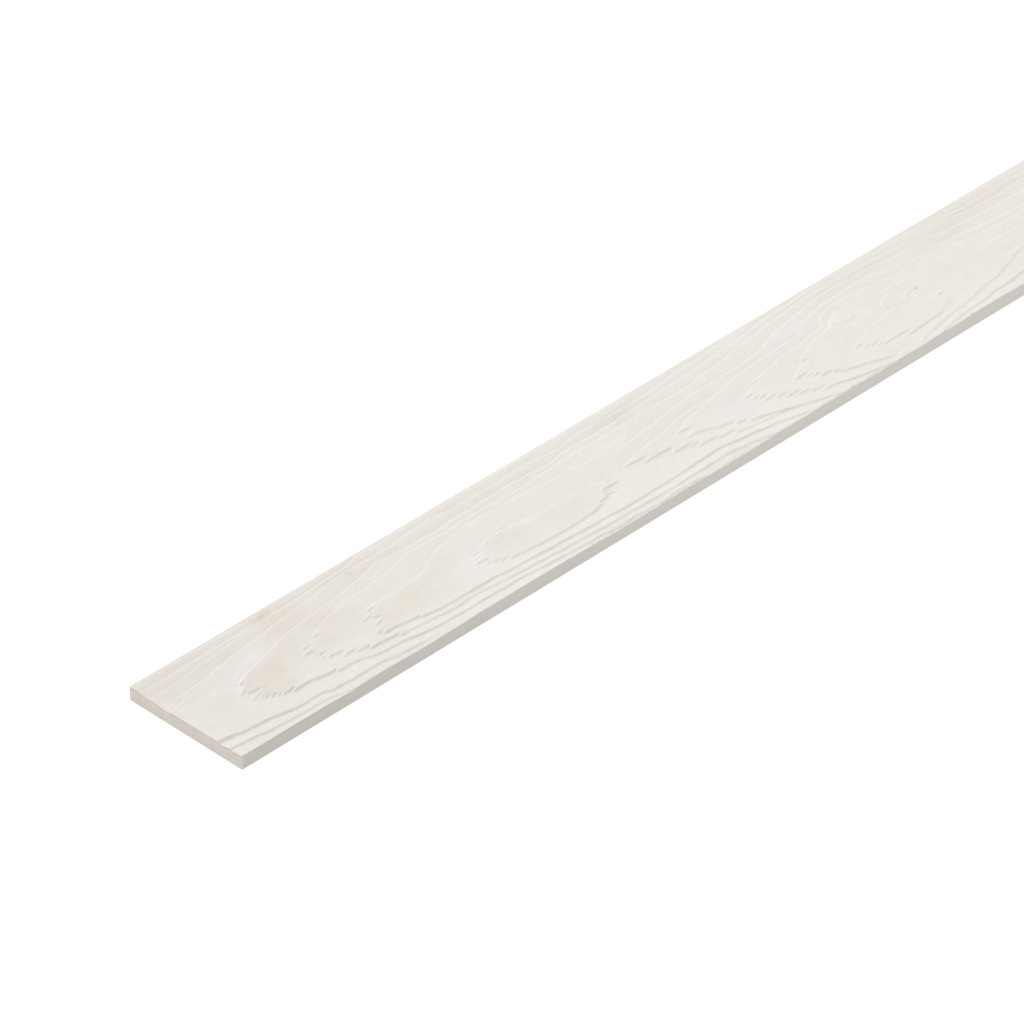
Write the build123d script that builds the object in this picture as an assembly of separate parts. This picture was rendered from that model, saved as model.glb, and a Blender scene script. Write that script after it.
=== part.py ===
from build123d import *
import os

# Fibre cement trim strip: one pressed and sawn length of flat stock.
# Frame: X along the strip, Y across it, Z up.  The strip lies flat on its
# plain back face, embossed face up, with the origin at the middle of the back.

LENGTH = 3000.0        # stock length, sawn square at both ends
WIDTH = 75.0           # across the strip, sawn edge to sawn edge
THICKNESS = 8.0        # back face to the highest part of the embossed face
ARRIS = 0.1            # breaking of the sharp edges left by the saw

os.makedirs("parts", exist_ok=True)

# The section is a plain rectangle.  The wood-grain relief of the upper face is
# about 1.4 mm deep at most, a little over 2 mm in small chips at its edges, and
# lies below the top plane of this solid.
section = Rectangle(WIDTH, THICKNESS, align=(Align.CENTER, Align.MIN))
section = chamfer(section.vertices(), ARRIS)

# Extrude along X: local x of the section plane is Y, local y is Z.
plane = Plane(origin=(-LENGTH / 2, 0, 0), x_dir=(0, 1, 0), z_dir=(1, 0, 0))
strip = extrude(plane * section, LENGTH)
strip = strip.solids()[0]
strip.label = "trim_strip"

export_step(strip, "parts/trim_strip.step")

box = strip.bounding_box()
print("trim_strip", [round(v, 3) for v in (*box.min, *box.max)],
      "volume_mm3", round(strip.volume, 1))
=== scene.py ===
import bpy
import math
import numpy as np
from mathutils import Matrix, Vector
from mathutils.geometry import delaunay_2d_cdt


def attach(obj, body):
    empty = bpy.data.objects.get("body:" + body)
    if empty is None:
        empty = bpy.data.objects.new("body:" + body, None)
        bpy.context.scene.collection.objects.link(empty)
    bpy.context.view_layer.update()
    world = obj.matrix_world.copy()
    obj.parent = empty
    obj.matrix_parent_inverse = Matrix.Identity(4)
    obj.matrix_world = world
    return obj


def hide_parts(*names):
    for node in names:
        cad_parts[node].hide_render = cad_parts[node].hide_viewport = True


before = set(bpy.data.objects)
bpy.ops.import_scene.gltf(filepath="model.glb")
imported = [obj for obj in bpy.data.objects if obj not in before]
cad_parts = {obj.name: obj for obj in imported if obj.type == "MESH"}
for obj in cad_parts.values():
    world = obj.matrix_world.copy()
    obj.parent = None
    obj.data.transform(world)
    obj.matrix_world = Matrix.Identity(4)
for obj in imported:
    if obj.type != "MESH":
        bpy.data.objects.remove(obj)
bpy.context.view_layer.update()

# Fibre cement trim strip: off-white, plain sawn back and edges, wood-grain
# relief pressed into the upper face.
# The relief is worked out in millimetres, with s along the strip from the end
# that shows (s = x + 1500) and y across it from the near edge (y = Y + 37.5).

LENGTH, WIDTH, THICK = 3000.0, 75.0, 8.0

# ---------------------------------------------------------------- grain lines
# Each growth-ring line is a low step: inside the figure the face is raised to a
# lip, and outside it drops and slowly comes up again to the next line.  A line
# is a row of points (s, y, step height), walked with its raised side on the
# left, so far-side stretches run towards the shown end and near-side stretches
# run away from it.  The pointed ends of the figure are frayed into fingers.


def run(points, a0, a1=None, fade_in=0.0, fade_out=0.0):
    """A smooth stretch through these points, its step height going from a0 to a1."""
    return ("run", points, a0, a0 if a1 is None else a1, fade_in, fade_out)


def teeth(dashes, a, fray=1.0):
    """A frayed stretch: straight from point to point; below 0.9, its dashes are broader."""
    return ("teeth", dashes, a, fray)


def fingers(rows):
    """Points of fingers that end towards the shown end.  A row of four is the
    near edge of a finger, from its end to its root, and a row of two is a point."""
    points = []
    for r in rows:
        if len(r) == 4:
            cut = min(0.4, 0.1 * (r[2] - r[0]))
            points += [(r[0] - 0.25 + cut, r[1] + 0.35), (r[0] + 0.15 + cut, r[1]), (r[2] - cut, r[3])]
        else:
            points.append(r)
    return points


C1_FAR = [(530, 72.3), (515, 72.6), (500, 72.8), (490, 73.0), (475, 73.1), (462, 73.0),
    (455, 72.6), (450, 72.0), (445, 71.6), (440, 71.8), (435, 71.8), (430, 71.3), (425, 71.0),
    (420, 70.5), (415, 69.7), (410, 69.1), (405, 68.7), (400, 68.4), (395, 67.8), (390, 67.6),
    (385, 67.0), (380, 66.4), (375, 66.1), (370, 65.7), (365, 65.5), (360, 65.4), (355, 65.1),
    (350, 64.8), (345, 64.5), (340, 64.2), (330, 63.8), (320, 63.5), (315, 63.1), (310, 62.7),
    (300, 62.7), (290, 62.8), (285, 63.0), (280, 62.8), (275, 62.6), (270, 62.0), (265, 61.4),
    (260, 61.2), (255, 61.6), (250, 62.0), (245, 62.1), (240, 62.4), (232, 62.4), (225, 62.2),
    (220, 62.2), (215, 61.8), (205, 61.8), (200, 61.8), (195, 61.6), (190, 61.2), (185, 61.0),
    (180, 61.3), (170, 61.6), (160, 62.2), (150, 62.6), (146.5, 62.7), (143, 62.0), (140, 60.7),
    (135, 59.9), (130, 59.2), (125, 58.5), (120, 57.3), (117, 56.6), (110, 55.9), (100, 55.2),
    (90, 54.1), (80, 52.8), (75, 52.0), (70, 50.6), (65, 48.9), (60, 47.5), (55, 46.3),
    (50, 45.2), (45, 43.8), (40, 42.0), (37.3, 40.6)]
C1_TIP = fingers([(36.4, 39.5, 38.8, 39.9), (39.0, 39.2), (31.0, 33.7, 35.0, 34.3), (35.2, 33.6),
    (34.0, 32.2, 41.6, 31.4), (41.9, 30.7), (33.0, 27.2, 38.6, 28.4), (39.7, 28.2),
    (36.4, 25.5, 39.4, 26.4), (39.9, 26.0), (37.2, 24.1, 41.6, 25.1), (41.9, 24.4),
    (40.4, 22.6, 44.6, 23.6), (44.9, 23.0), (43.7, 21.3, 46.3, 22.4), (46.6, 21.8),
    (45.7, 20.1, 53.3, 21.0), (53.6, 20.2)])
C1_STEP = [(51.0, 18.7), (52.4, 18.4), (57.5, 18.8), (63.2, 18.6), (64.8, 17.6), (70.0, 17.1), (76.4, 16.5)]
C1_STEP2 = [(75.8, 14.9), (77.2, 14.6), (83.0, 14.7), (88.0, 14.2), (91.6, 13.4)]
C1_NEAR = [(92.6, 12.6), (95, 11.7), (100, 10.8), (105, 10.4), (110, 10.3), (115, 9.7), (120, 8.6),
    (125, 7.4), (130, 6.9), (135, 6.6), (140, 6.3), (145, 6.2), (150, 6.0), (160, 5.9),
    (170, 5.9), (180, 5.6), (185, 5.6), (190, 5.2), (195, 4.7), (200, 4.3), (205, 4.1),
    (210, 3.7), (215, 3.4), (220, 3.0), (225, 2.7), (230, 2.4), (235, 2.4), (240, 2.4),
    (245, 1.7), (250, 1.4), (255, 1.5), (260, 1.8), (265, 1.6), (270, 1.2), (278, 0.9),
    (290, 1.3), (300, 1.5), (305, 1.0), (309, -0.2), (313, -1.6)]

C2_FAR = [(605, 57.0), (595, 57.3), (585, 57.7), (575, 58.2), (570, 58.8), (565, 59.0), (555, 59.8),
    (547, 60.4), (544, 61.3), (541, 62.7), (538, 63.8), (535, 64.4), (532, 65.4), (527, 66.8),
    (520, 67.5), (510, 68.2), (500, 69.3), (490, 69.8), (480, 69.8), (470, 69.6), (465, 69.4),
    (455, 69.1), (450, 68.8), (445, 68.4), (440, 68.0), (435, 67.7), (430, 67.2), (425, 66.7),
    (420, 66.2), (415, 65.6), (410, 65.1), (405, 64.3), (400, 63.4), (395, 62.7), (390, 61.8),
    (385, 61.2), (380, 60.6), (375, 60.2), (370, 59.6), (365, 58.9), (360, 58.4), (355, 58.2),
    (345, 58.1), (340, 58.2), (330, 58.0), (320, 58.0), (310, 58.0), (300, 58.2), (290, 58.2),
    (280, 58.2), (270, 58.0), (260, 57.7), (255, 57.7), (250, 57.4), (245, 57.0), (240, 56.8),
    (235, 57.0), (230, 57.3), (225, 57.4), (215, 57.6), (210, 57.8), (205, 57.8), (200, 57.7),
    (195, 57.2), (190, 57.0), (180, 57.2), (175, 57.4), (170, 57.6), (165, 57.8), (162, 57.8),
    (159, 57.2), (157.5, 56.2), (155, 55.5), (150, 54.7), (145, 53.7), (140, 53.0), (137, 52.9),
    (132, 52.5), (130, 52.1), (125, 52.1), (120, 52.2), (117, 52.0), (114, 51.2), (110, 50.3),
    (105, 49.0), (100, 47.9), (96, 46.9)]
C2_TIP = fingers([(92.7, 45.6, 95.0, 46.0), (95.0, 45.2), (90.0, 44.0), (85.8, 41.6, 89.6, 42.5),
    (90.0, 41.4), (86.0, 40.6), (80.0, 40.1), (76.0, 38.6, 80.4, 39.2), (80.8, 38.3), (77.0, 36.8),
    (71.9, 33.5, 73.6, 34.7), (75.5, 35.0), (77.6, 34.4), (79.4, 33.8), (79.6, 33.1),
    (77.0, 31.4, 79.6, 32.1), (79.9, 31.7), (77.8, 29.8, 82.2, 30.2), (82.4, 29.6),
    (77.4, 27.1, 81.1, 27.9), (81.4, 27.2), (80.0, 25.5, 82.5, 25.8), (88.8, 24.9), (89.1, 24.1),
    (85.8, 21.1, 93.8, 21.6), (94.1, 20.9), (92.2, 19.0, 100.6, 19.2), (100.9, 18.5),
    (99.8, 17.6)])
C2_STEP = [(99.2, 17.0), (100.6, 16.6), (105.0, 16.6), (110.0, 16.0), (116.2, 15.5)]
C2_NEAR = [(115.6, 13.9), (117, 13.6), (121, 13.5), (125, 13.2), (130, 13.0), (135, 12.4), (140, 12.0), (143, 11.3), (150, 10.9),
    (155, 11.3), (160, 11.7), (165, 11.6), (170, 11.0), (175, 10.3), (180, 9.7), (185, 9.25),
    (190, 8.85), (195, 8.7), (200, 8.4), (205, 8.25), (210, 8.0), (215, 7.6), (220, 7.2),
    (225, 6.8), (230, 6.6), (235, 6.3), (240, 6.2), (245, 5.8), (250, 5.75), (260, 5.5),
    (270, 5.3), (280, 4.9), (290, 4.5), (300, 4.5), (310, 4.9), (320, 5.2), (330, 5.2),
    (335, 4.9), (340, 4.2), (345, 3.5), (350, 2.6), (355, 1.6), (360, 0.4), (366, -1.5)]

C3_FAR = [(598, 48.5), (590, 49.0), (580, 49.6), (575, 50.1), (570, 50.8), (567, 51.2), (560, 52.1),
    (553, 53.3), (548, 54.0), (545, 54.3), (541, 55.3), (538, 56.5), (534, 58.3), (530, 59.9),
    (527, 61.0), (522, 62.3), (515, 62.6), (510, 63.0), (505, 63.8), (500, 64.7), (495, 64.8),
    (490, 64.6), (485, 64.9), (480, 65.6), (475, 65.9), (470, 65.6), (465, 65.3), (460, 64.9),
    (455, 64.3), (450, 63.7), (445, 63.0), (440, 62.0), (435, 61.3), (430, 60.7), (425, 60.1),
    (420, 59.1), (417.5, 58.25), (415, 57.2), (412.5, 56.2), (410, 55.3), (405, 54.3), (400, 53.6),
    (395, 53.0), (390, 52.6), (380, 52.4), (370, 52.25), (360, 52.0), (355, 51.8), (350, 51.4),
    (345, 51.0), (340, 50.7), (335, 50.2), (330, 49.5), (325, 48.6), (320, 47.8), (315, 47.3),
    (310, 46.8), (305, 46.3), (300, 46.0), (295, 46.3), (290, 47.0), (285, 48.0), (280, 48.8),
    (275, 49.5), (270, 49.9), (263, 50.6), (255, 50.9), (250, 51.3), (245, 52.1), (240, 52.9),
    (235, 53.3), (230, 53.1), (223, 52.5), (218, 52.8), (215, 53.7), (210, 54.3), (205, 54.1),
    (200, 53.7), (195, 53.2), (190, 52.4), (185, 51.4), (180, 50.8), (175, 49.9), (172.5, 48.3),
    (169, 46.6), (165, 45.8), (162.8, 44.6)]
C3_TIP = fingers([(162.0, 43.2), (160.0, 42.0), (155.0, 41.2), (150.0, 40.3), (140.0, 39.9), (130.0, 39.9),
    (121.0, 40.0), (117.4, 38.4, 123.7, 38.9), (124.0, 38.0), (117.0, 36.2), (110.5, 34.3, 116.6, 34.6),
    (116.9, 33.9), (116.0, 32.9, 120.7, 32.1), (121.0, 31.3), (113.3, 28.0, 118.3, 28.6), (118.6, 27.6),
    (112.0, 25.0), (108.9, 23.1, 112.4, 23.5), (112.9, 22.7)])
C3_STEP = [(112.0, 20.7), (113.4, 20.3), (117.0, 20.4), (121.6, 20.1), (123.2, 19.4), (128.0, 18.8), (133.2, 18.3)]
C3_NEAR = [(132.8, 17.1), (138, 16.2), (143, 15.5), (150, 15.2), (160, 14.9), (170, 14.9), (177.5, 14.7), (183, 13.9),
    (190, 13.3), (195, 13.1), (205, 12.8), (210, 12.4), (215, 12.0), (220, 11.8), (225, 11.6),
    (230, 11.3), (235, 10.9), (240, 10.6), (250, 10.6), (255, 10.5), (260, 9.9), (270, 9.5),
    (280, 9.7), (290, 9.7), (300, 9.75), (305, 9.9), (310, 10.2), (315, 10.5), (320, 10.6),
    (325, 10.9), (330, 11.2), (335, 10.6), (340, 9.7), (345, 9.0), (350, 8.5), (355, 7.7),
    (360, 6.8), (365, 6.0), (370, 4.9), (375, 3.7), (380, 2.4), (385, 1.2), (390, -0.2), (395, -1.6)]

C4_FAR = [(268, 33.3), (264, 34.2), (260, 34.8), (250, 35.3), (240, 35.2), (235, 35.5), (230, 36.2),
    (223, 37.2), (218, 37.6), (215, 38.4), (210, 38.7), (205, 38.8), (198, 39.1), (195, 38.4),
    (192.5, 37.0), (189, 35.6)]
C4_LEFT = fingers([(184.0, 34.4, 188.3, 34.7), (188.5, 33.8), (181.6, 31.3, 184.9, 31.6), (185.6, 30.8),
    (180.0, 28.6, 184.0, 28.3), (188.0, 27.4), (188.5, 26.8), (183.4, 24.9, 186.6, 25.1), (187.6, 24.6),
    (187.0, 23.6, 191.4, 23.8), (191.9, 23.0), (190.0, 21.7, 195.6, 21.9), (196.1, 21.1), (194.6, 19.9, 200.0, 19.5)])
C4_NEAR = [(201, 19.4), (205, 18.8), (210, 18.2), (213, 17.8), (220, 17.6), (225, 17.3), (232, 17.1),
    (240, 17.3), (245, 17.8), (250, 18.1), (253.5, 18.3)]
C4_RIGHT = [(254.2, 19.1), (257.8, 19.8), (257.6, 20.8), (258.3, 21.5), (263.8, 22.0), (263.6, 22.9),
    (269.0, 23.4), (264.6, 24.5), (268.4, 25.4), (265.6, 26.2), (267.4, 27.3), (268.2, 27.5), (276.4, 27.4), (276.9, 28.0), (272.0, 30.2),
    (275.3, 31.3), (270.0, 32.4), (268, 33.3)]

C5_FAR = [(590, 44.4), (580, 44.8), (570, 45.4), (560, 46.5), (555, 47.0), (545, 48.4), (540, 49.2),
    (535, 50.3), (530, 51.9), (526, 53.3), (520, 54.2), (515.5, 54.8)]
C5_FAR2 = [(513.5, 56.7), (510, 57.3), (505, 58.0), (500, 58.9), (492, 60.0), (487, 60.6), (480, 60.5),
    (470, 60.3), (462, 59.8), (455, 59.2), (450, 58.3), (445, 57.3), (440, 56.2)]
C5_JOG = [(438.6, 55.7), (434.0, 54.5), (438.3, 53.7), (433.0, 52.7), (437.0, 51.8), (432.5, 50.6)]
C5_FAR3 = [(430, 50.0), (425, 49.7), (420, 49.7), (415, 49.3), (410, 49.1), (405, 48.9), (400, 48.8),
    (395, 48.4), (390, 48.0), (385, 47.7), (380, 47.1), (375, 46.0), (370, 44.9), (365, 44.2),
    (360, 43.9), (355, 44.0), (350, 43.9), (345, 43.7), (340, 43.2), (335, 42.7), (330, 42.0),
    (325, 40.6), (320, 39.8), (315, 39.1), (310, 38.4), (305, 37.4), (300, 36.3), (295, 35.5),
    (290, 34.4), (287.5, 33.7)]
C5_TIP = fingers([(286.8, 32.8, 294.0, 32.7), (301.0, 32.2), (301.5, 31.3), (297.0, 28.6, 305.0, 28.7),
    (314.6, 28.3), (315.0, 27.5), (312.8, 24.2, 324.9, 24.0), (325.3, 23.3), (321.6, 22.2, 327.8, 22.2),
    (328.1, 21.5), (325.4, 19.4, 337.7, 19.0), (338.0, 18.3), (336.6, 17.1, 347.7, 16.8), (348.0, 16.0),
    (346.2, 14.0, 352.0, 13.2)])
C5_NEAR = [(353, 13.0), (356, 12.5), (360, 12.1), (365, 11.4), (370, 10.8), (374, 10.3), (380, 9.6)]

C6_FAR = [(368, 44.4), (362, 43.4), (355, 41.6), (350, 41.0), (346, 40.5), (340, 39.4), (335, 38.0),
    (330, 36.0), (327.5, 35.2)]
C6_TIP = fingers([(326.0, 34.2, 334.0, 33.4), (334.5, 32.4), (326.6, 28.4, 331.0, 28.3), (334.0, 27.4),
    (337.5, 26.5), (340.5, 25.4), (341.8, 24.2), (343.4, 23.2), (348.0, 22.7), (352.9, 21.7), (353.2, 21.0),
    (352.0, 19.5, 358.8, 18.5), (359.1, 17.8), (357.8, 16.4, 363.0, 15.2)])
C6_NEAR = [(364, 15.0), (370, 13.2), (374, 11.6), (378, 10.1), (384, 8.1), (390, 6.2), (396, 4.2),
    (403, 2.0), (408, 0.3), (413, -1.5)]

C7_FAR = [(585, 36.4), (570, 37.2), (555, 37.6), (546, 38.2)]
C7_FAINT = [(542, 39.2), (539, 40.6), (535, 42.4), (528, 45.4), (520, 47.8), (512, 49.3)]
C7_FAR2 = [(507, 50.3), (503, 51.5), (496, 52.3), (491, 53.1), (486, 54.2),
    (478, 54.8), (473, 55.6), (470, 55.8), (462, 55.5), (457.5, 55.0), (452.5, 53.9), (449, 52.9),
    (446.7, 51.2), (446, 49.5), (445, 47.9), (442.5, 46.6), (440, 46.0), (435, 45.4), (430, 44.7),
    (425, 43.9), (420, 43.5), (415, 43.3), (410, 43.0), (406, 42.2), (403, 41.3), (400, 40.8),
    (397, 40.5), (394, 40.1)]
C7_TIP = fingers([(392.0, 39.4), (391.0, 38.7), (386.0, 38.2), (381.0, 37.2, 386.4, 37.5), (386.6, 36.6),
    (379.0, 34.8), (370.6, 31.2, 376.4, 31.2), (376.7, 30.3), (372.5, 27.9, 377.3, 28.0), (377.6, 27.2),
    (375.9, 26.0, 380.7, 26.0), (381.0, 25.1), (376.0, 22.9, 384.1, 22.8), (384.4, 22.0),
    (382.0, 20.5, 389.3, 20.3), (389.6, 19.5), (386.0, 17.5, 394.3, 17.2), (394.6, 16.4),
    (391.9, 14.6, 398.7, 14.3), (399.0, 13.4), (397.9, 12.1, 406.7, 10.8), (407.0, 10.0),
    (404.2, 8.8, 412.0, 7.5)])
C7_NEAR = [(413, 7.3), (420, 5.3), (425, 4.0), (430, 2.8), (437, 1.8), (444, 0.7), (452, -1.2)]

C8_FAR = [(508, 45.0), (497, 45.8), (490, 46.0), (485, 46.1), (480, 46.8), (475, 47.6), (470, 48.3),
    (466, 48.7), (463, 50.0), (460, 50.8), (456, 50.0), (452.5, 48.3), (450, 46.8), (448, 45.3),
    (446, 43.9), (443, 42.8), (440, 42.2), (433, 41.2), (428, 39.9), (425, 38.7), (420, 36.7),
    (417.5, 35.7), (415.5, 34.8)]
C8_TIP = fingers([(414.0, 33.1, 417.9, 32.9), (418.1, 32.0), (413.0, 30.4), (406.0, 28.7),
    (400.2, 24.8, 409.3, 24.7), (409.6, 23.8), (406.0, 22.5, 410.1, 22.4), (410.4, 21.6),
    (408.3, 20.2, 413.3, 20.1), (413.6, 19.2), (410.5, 17.5, 419.3, 17.2), (419.6, 16.3),
    (417.9, 15.3, 421.9, 15.0), (422.2, 14.2), (420.6, 13.2, 426.0, 11.6)])
C8_NEAR = [(427, 11.3), (430, 10.4), (435, 9.0), (440, 7.2), (445, 5.4), (450, 4.0), (454, 3.2)]
EDGE_BUMP = [(465.5, -0.9), (463.4, 1.4), (460.5, 3.6), (456.5, 4.1), (452.5, 3.1), (449.5, 1.5), (447.0, -0.9)]

C9_FAR = [(490, 33.4), (484, 33.0), (480, 32.6), (474, 31.7), (470, 30.4), (465, 29.6), (459, 29.2),
    (455, 27.6), (450, 26.0), (445, 24.4), (442, 23.3)]
C9_TIP = fingers([(440.0, 21.4, 446.3, 22.3), (446.6, 21.3), (445.0, 19.2, 449.1, 19.4), (449.3, 18.6),
    (448.0, 17.8, 453.7, 18.2), (453.9, 17.1), (451.0, 15.7, 454.4, 16.0), (454.7, 15.1),
    (453.4, 14.1, 460.0, 14.2)])
C9_NEAR = [(461, 14.2), (466, 14.1), (470, 14.0), (476, 14.2)]
C9_RIGHT = [(464.5, 10.2), (470, 10.8), (475, 11.2), (480, 11.4), (485, 11.6), (490, 11.9), (495, 12.5)]
C9_END = [(497, 13.2), (499.6, 13.9), (499.3, 14.5), (504.9, 15.4), (504.5, 16.9), (509.8, 18.8),
    (508.6, 19.7), (510.4, 20.9), (507.4, 21.6), (509.4, 22.6), (505.6, 23.2), (509.6, 24.1),
    (508.0, 26.4), (503.0, 26.3)]

KNOT_1 = [(463, 44.5), (461, 47.3), (457.5, 48.6), (454, 47.6), (452.8, 45.0), (453, 42.3),
    (454.5, 40.7), (457, 40.3), (459.5, 40.7), (461.5, 41.8), (462.8, 43.2), (463, 44.5)]
KNOT_2 = [(495.0, 37.4), (493.4, 40.0), (490, 41.7), (486, 42.0), (482, 41.1), (479.6, 39.2), (478.9, 37.0),
    (477.6, 34.9), (480.2, 34.1), (484, 32.8), (488, 31.7), (491.3, 31.4), (493.5, 32.8), (495.2, 35.2),
    (496.4, 36.2), (503.6, 36.1), (503.0, 37.2), (497.0, 37.3), (495.0, 37.4)]

R1_NEAR = [(466, 0.6), (472.5, 3.2), (475, 4.1), (480, 4.9), (485, 5.75), (490, 6.6), (495, 7.6), (500, 8.2),
    (510, 9.1), (515, 9.9), (520, 10.8), (525, 12.1), (530, 13.0), (535, 13.4), (542, 14.1)]
R1_END = [(543.0, 14.4), (542.0, 15.0), (546.0, 15.9), (550.0, 16.8), (553.0, 17.7), (558.2, 18.9), (557.6, 19.7),
    (559.4, 20.6), (566.0, 21.1), (565.0, 21.9), (570.5, 22.6), (567.0, 23.2), (573.0, 24.0), (566.0, 24.6)]
R1_FAR = [(560, 24.8), (552, 25.3), (545, 26.1), (540, 27.2), (535, 28.0), (530, 28.6), (525, 29.4),
    (520, 30.1), (515, 31.1), (508, 32.2)]

R2_NEAR = [(482, -0.8), (485, 1.0), (488, 1.6), (493, 2.4), (500, 3.2), (505, 3.6), (510, 3.8), (515, 4.1),
    (520, 4.5), (525, 5.2), (530, 5.75), (535, 6.1), (540, 6.3), (545, 6.8), (550, 7.3), (555, 8.1)]

L1_FAR = [(615, 63.7), (610, 63.8), (600, 63.5), (590, 63.3), (580, 63.6), (575, 64.0), (570, 64.6),
    (563, 65.1), (560, 66.4), (557, 68.6), (554, 70.9), (549, 72.0), (540, 72.2)]
L0_FAR = [(620, 67.5), (617, 68.2), (610, 68.9), (600, 68.7), (590, 68.6), (580, 68.2), (575, 68.0),
    (570, 68.2), (565, 69.0), (560, 70.3), (556, 71.7), (551, 73.0), (545, 74.4), (540, 75.8)]
LT_FAR = [(628, 71.0), (624, 71.8), (615, 72.8), (600, 73.1), (580, 73.6), (560, 74.3), (550, 75.6)]

FD = [(421, 75.8), (414, 74.3), (410, 73.9), (405, 73.5), (400, 73.0), (395, 72.4), (390, 72.0), (385, 71.6),
    (380, 71.2), (375, 71.1), (370, 70.9), (365, 70.7), (360, 70.3), (355, 69.8), (350, 69.1), (345, 68.6),
    (340, 68.4), (330, 68.2), (320, 68.2), (310, 68.1), (300, 68.5), (295, 68.8), (290, 68.7), (285, 68.0),
    (280, 67.0), (275, 66.4), (270, 66.8), (265, 67.6), (260, 68.2), (255, 68.5), (250, 68.7), (245, 68.4),
    (240, 67.9), (230, 67.6), (225, 67.8), (215, 67.8), (205, 68.0), (200, 68.1), (198, 68.4), (194, 68.9),
    (190, 69.3), (180, 69.1), (175, 69.0), (172, 68.8), (168, 68.3), (165, 67.8), (160, 67.4), (150, 67.6),
    (140, 67.6), (130, 67.6), (125, 67.2), (120, 66.6), (115, 65.9), (110, 65.3), (100, 63.9), (90, 63.2),
    (80, 61.8), (70, 60.4), (60, 59.4), (50, 58.5), (40, 57.0), (35, 55.9), (30, 55.2), (25, 54.8),
    (20, 54.4), (10, 53.6), (6, 52.9)]
FB = [(329, 75.9), (325, 74.9), (320, 74.2), (314, 73.5), (310, 73.1), (300, 73.2), (290, 73.5), (280, 73.8),
    (260, 73.9), (240, 73.9), (235, 73.8), (215, 73.5), (205, 73.2), (195, 73.2), (190, 73.6), (180, 73.7),
    (160, 73.6), (150, 73.5), (146, 73.3), (142.5, 72.4), (138, 71.3), (135, 70.8), (125, 70.4), (115, 69.8),
    (110, 69.3), (100, 68.8), (90, 68.5), (80, 68.4), (70, 68.5), (60, 68.2), (50, 68.1), (30, 68.1),
    (20, 67.7), (10, 67.5), (0, 68.1), (-6, 68.3)]
FC = [(73, 68.2), (67, 67.0), (60, 66.1), (50, 65.0), (40, 64.2), (35, 64.0), (30, 63.2), (25, 62.4),
    (20, 62.0), (10, 61.9), (0, 61.8), (-6, 61.8)]
FA = [(84, 72.2), (76, 72.6), (70, 72.9), (60, 73.2), (45, 73.4), (30, 73.5), (15, 73.6), (0, 73.7), (-6, 73.7)]
F5 = [(11.3, 50.6), (10.0, 49.7), (8, 49.0), (5, 48.5), (0, 48.0), (-6, 47.6)]
N1 = [(-6, 16.1), (0, 15.5), (5, 14.9), (10, 14.1), (12.8, 12.9), (20, 12.3), (28, 11.6), (33, 10.4), (40, 9.1),
    (45, 8.3), (50, 8.25), (58, 8.4), (62, 7.4), (64, 6.2), (70, 6.1), (80, 5.6), (90, 5.7), (95, 5.4),
    (99, 4.7), (102, 3.6), (110, 3.2), (120, 2.8), (125, 2.5), (134, 2.2)]
N2 = [(-6, 8.6), (0, 8.0), (10, 6.7), (17, 5.8), (20, 5.0), (30, 4.2), (40, 3.7), (50, 3.4), (60, 3.1),
    (63, 2.4), (67, 1.2), (70, 0.4), (74, -1.0)]

# The rest of the strip carries on as the same kind of figure.  A ring of radius
# r is cut by the face at height z(s) above the pith, so its two sides lie at
# yc(s) +- sqrt(r^2 - z^2), and it closes in a point where z reaches r.
RINGS = np.array([29.6, 31.2, 34.0, 36.2, 41.6, 46.0, 49.8, 53.4, 57.2, 60.4, 64.6, 68.2, 72.0, 75.6, 79.4, 83.0])
Z_S = np.array([560, 600, 700, 820, 950, 1080, 1200, 1330, 1470, 1610, 1730, 1850, 1960, 2090, 2230, 2370, 2500,
                2620, 2740, 2870, 3020.0])
Z_H = np.array([29.2, 30.0, 34.2, 39.8, 47.0, 52.6, 55.4, 53.0, 46.2, 39.0, 33.4, 30.4, 33.2, 40.2, 48.6, 54.8, 51.6,
                45.2, 38.4, 33.0, 29.0])
YC_S = np.array([560, 600, 760, 940, 1120, 1320, 1500, 1700, 1880, 2060, 2260, 2450, 2640, 2830, 3020.0])
YC_Y = np.array([28.0, 29.0, 31.5, 36.0, 41.5, 43.5, 38.0, 33.5, 30.5, 34.5, 40.0, 42.5, 37.5, 33.0, 35.0])

rng = np.random.default_rng(52)


def smooth_at(xs, ys, x):
    """Cubic through (xs, ys) at x, with slopes from np.gradient."""
    m = np.gradient(ys, xs)
    i = np.clip(np.searchsorted(xs, x) - 1, 0, len(xs) - 2)
    h = xs[i + 1] - xs[i]
    t = np.clip((x - xs[i]) / h, 0, 1)
    return ((2 * t**3 - 3 * t**2 + 1) * ys[i] + (t**3 - 2 * t**2 + t) * h * m[i]
            + (-2 * t**3 + 3 * t**2) * ys[i + 1] + (t**3 - t**2) * h * m[i + 1])


def wander(length, step, size, seed):
    """A smooth random line: one value for each mm of the strip, about size high."""
    r = np.random.default_rng(seed)
    n = int(length / step) + 6
    knots = r.normal(0, size, n)
    return np.interp(np.arange(0, length + 1.0), np.arange(n) * step - step * r.uniform(), knots)


def soft(v, w):
    k = np.hanning(2 * w + 3)[1:-1]
    return np.convolve(np.pad(v, w, mode="edge"), k / k.sum(), mode="valid")


S_ALL = np.arange(0, LENGTH + 61.0)
Z_ALL = smooth_at(Z_S, Z_H, S_ALL) + soft(wander(LENGTH + 60, 60, 0.35, 5), 30)
YC_ALL = smooth_at(YC_S, YC_Y, S_ALL) + soft(wander(LENGTH + 60, 45, 1.1, 6), 25)
DRIFT = soft(wander(LENGTH + 60, 28, 0.9, 7), 14)      # shared waviness of neighbouring lines


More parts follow.
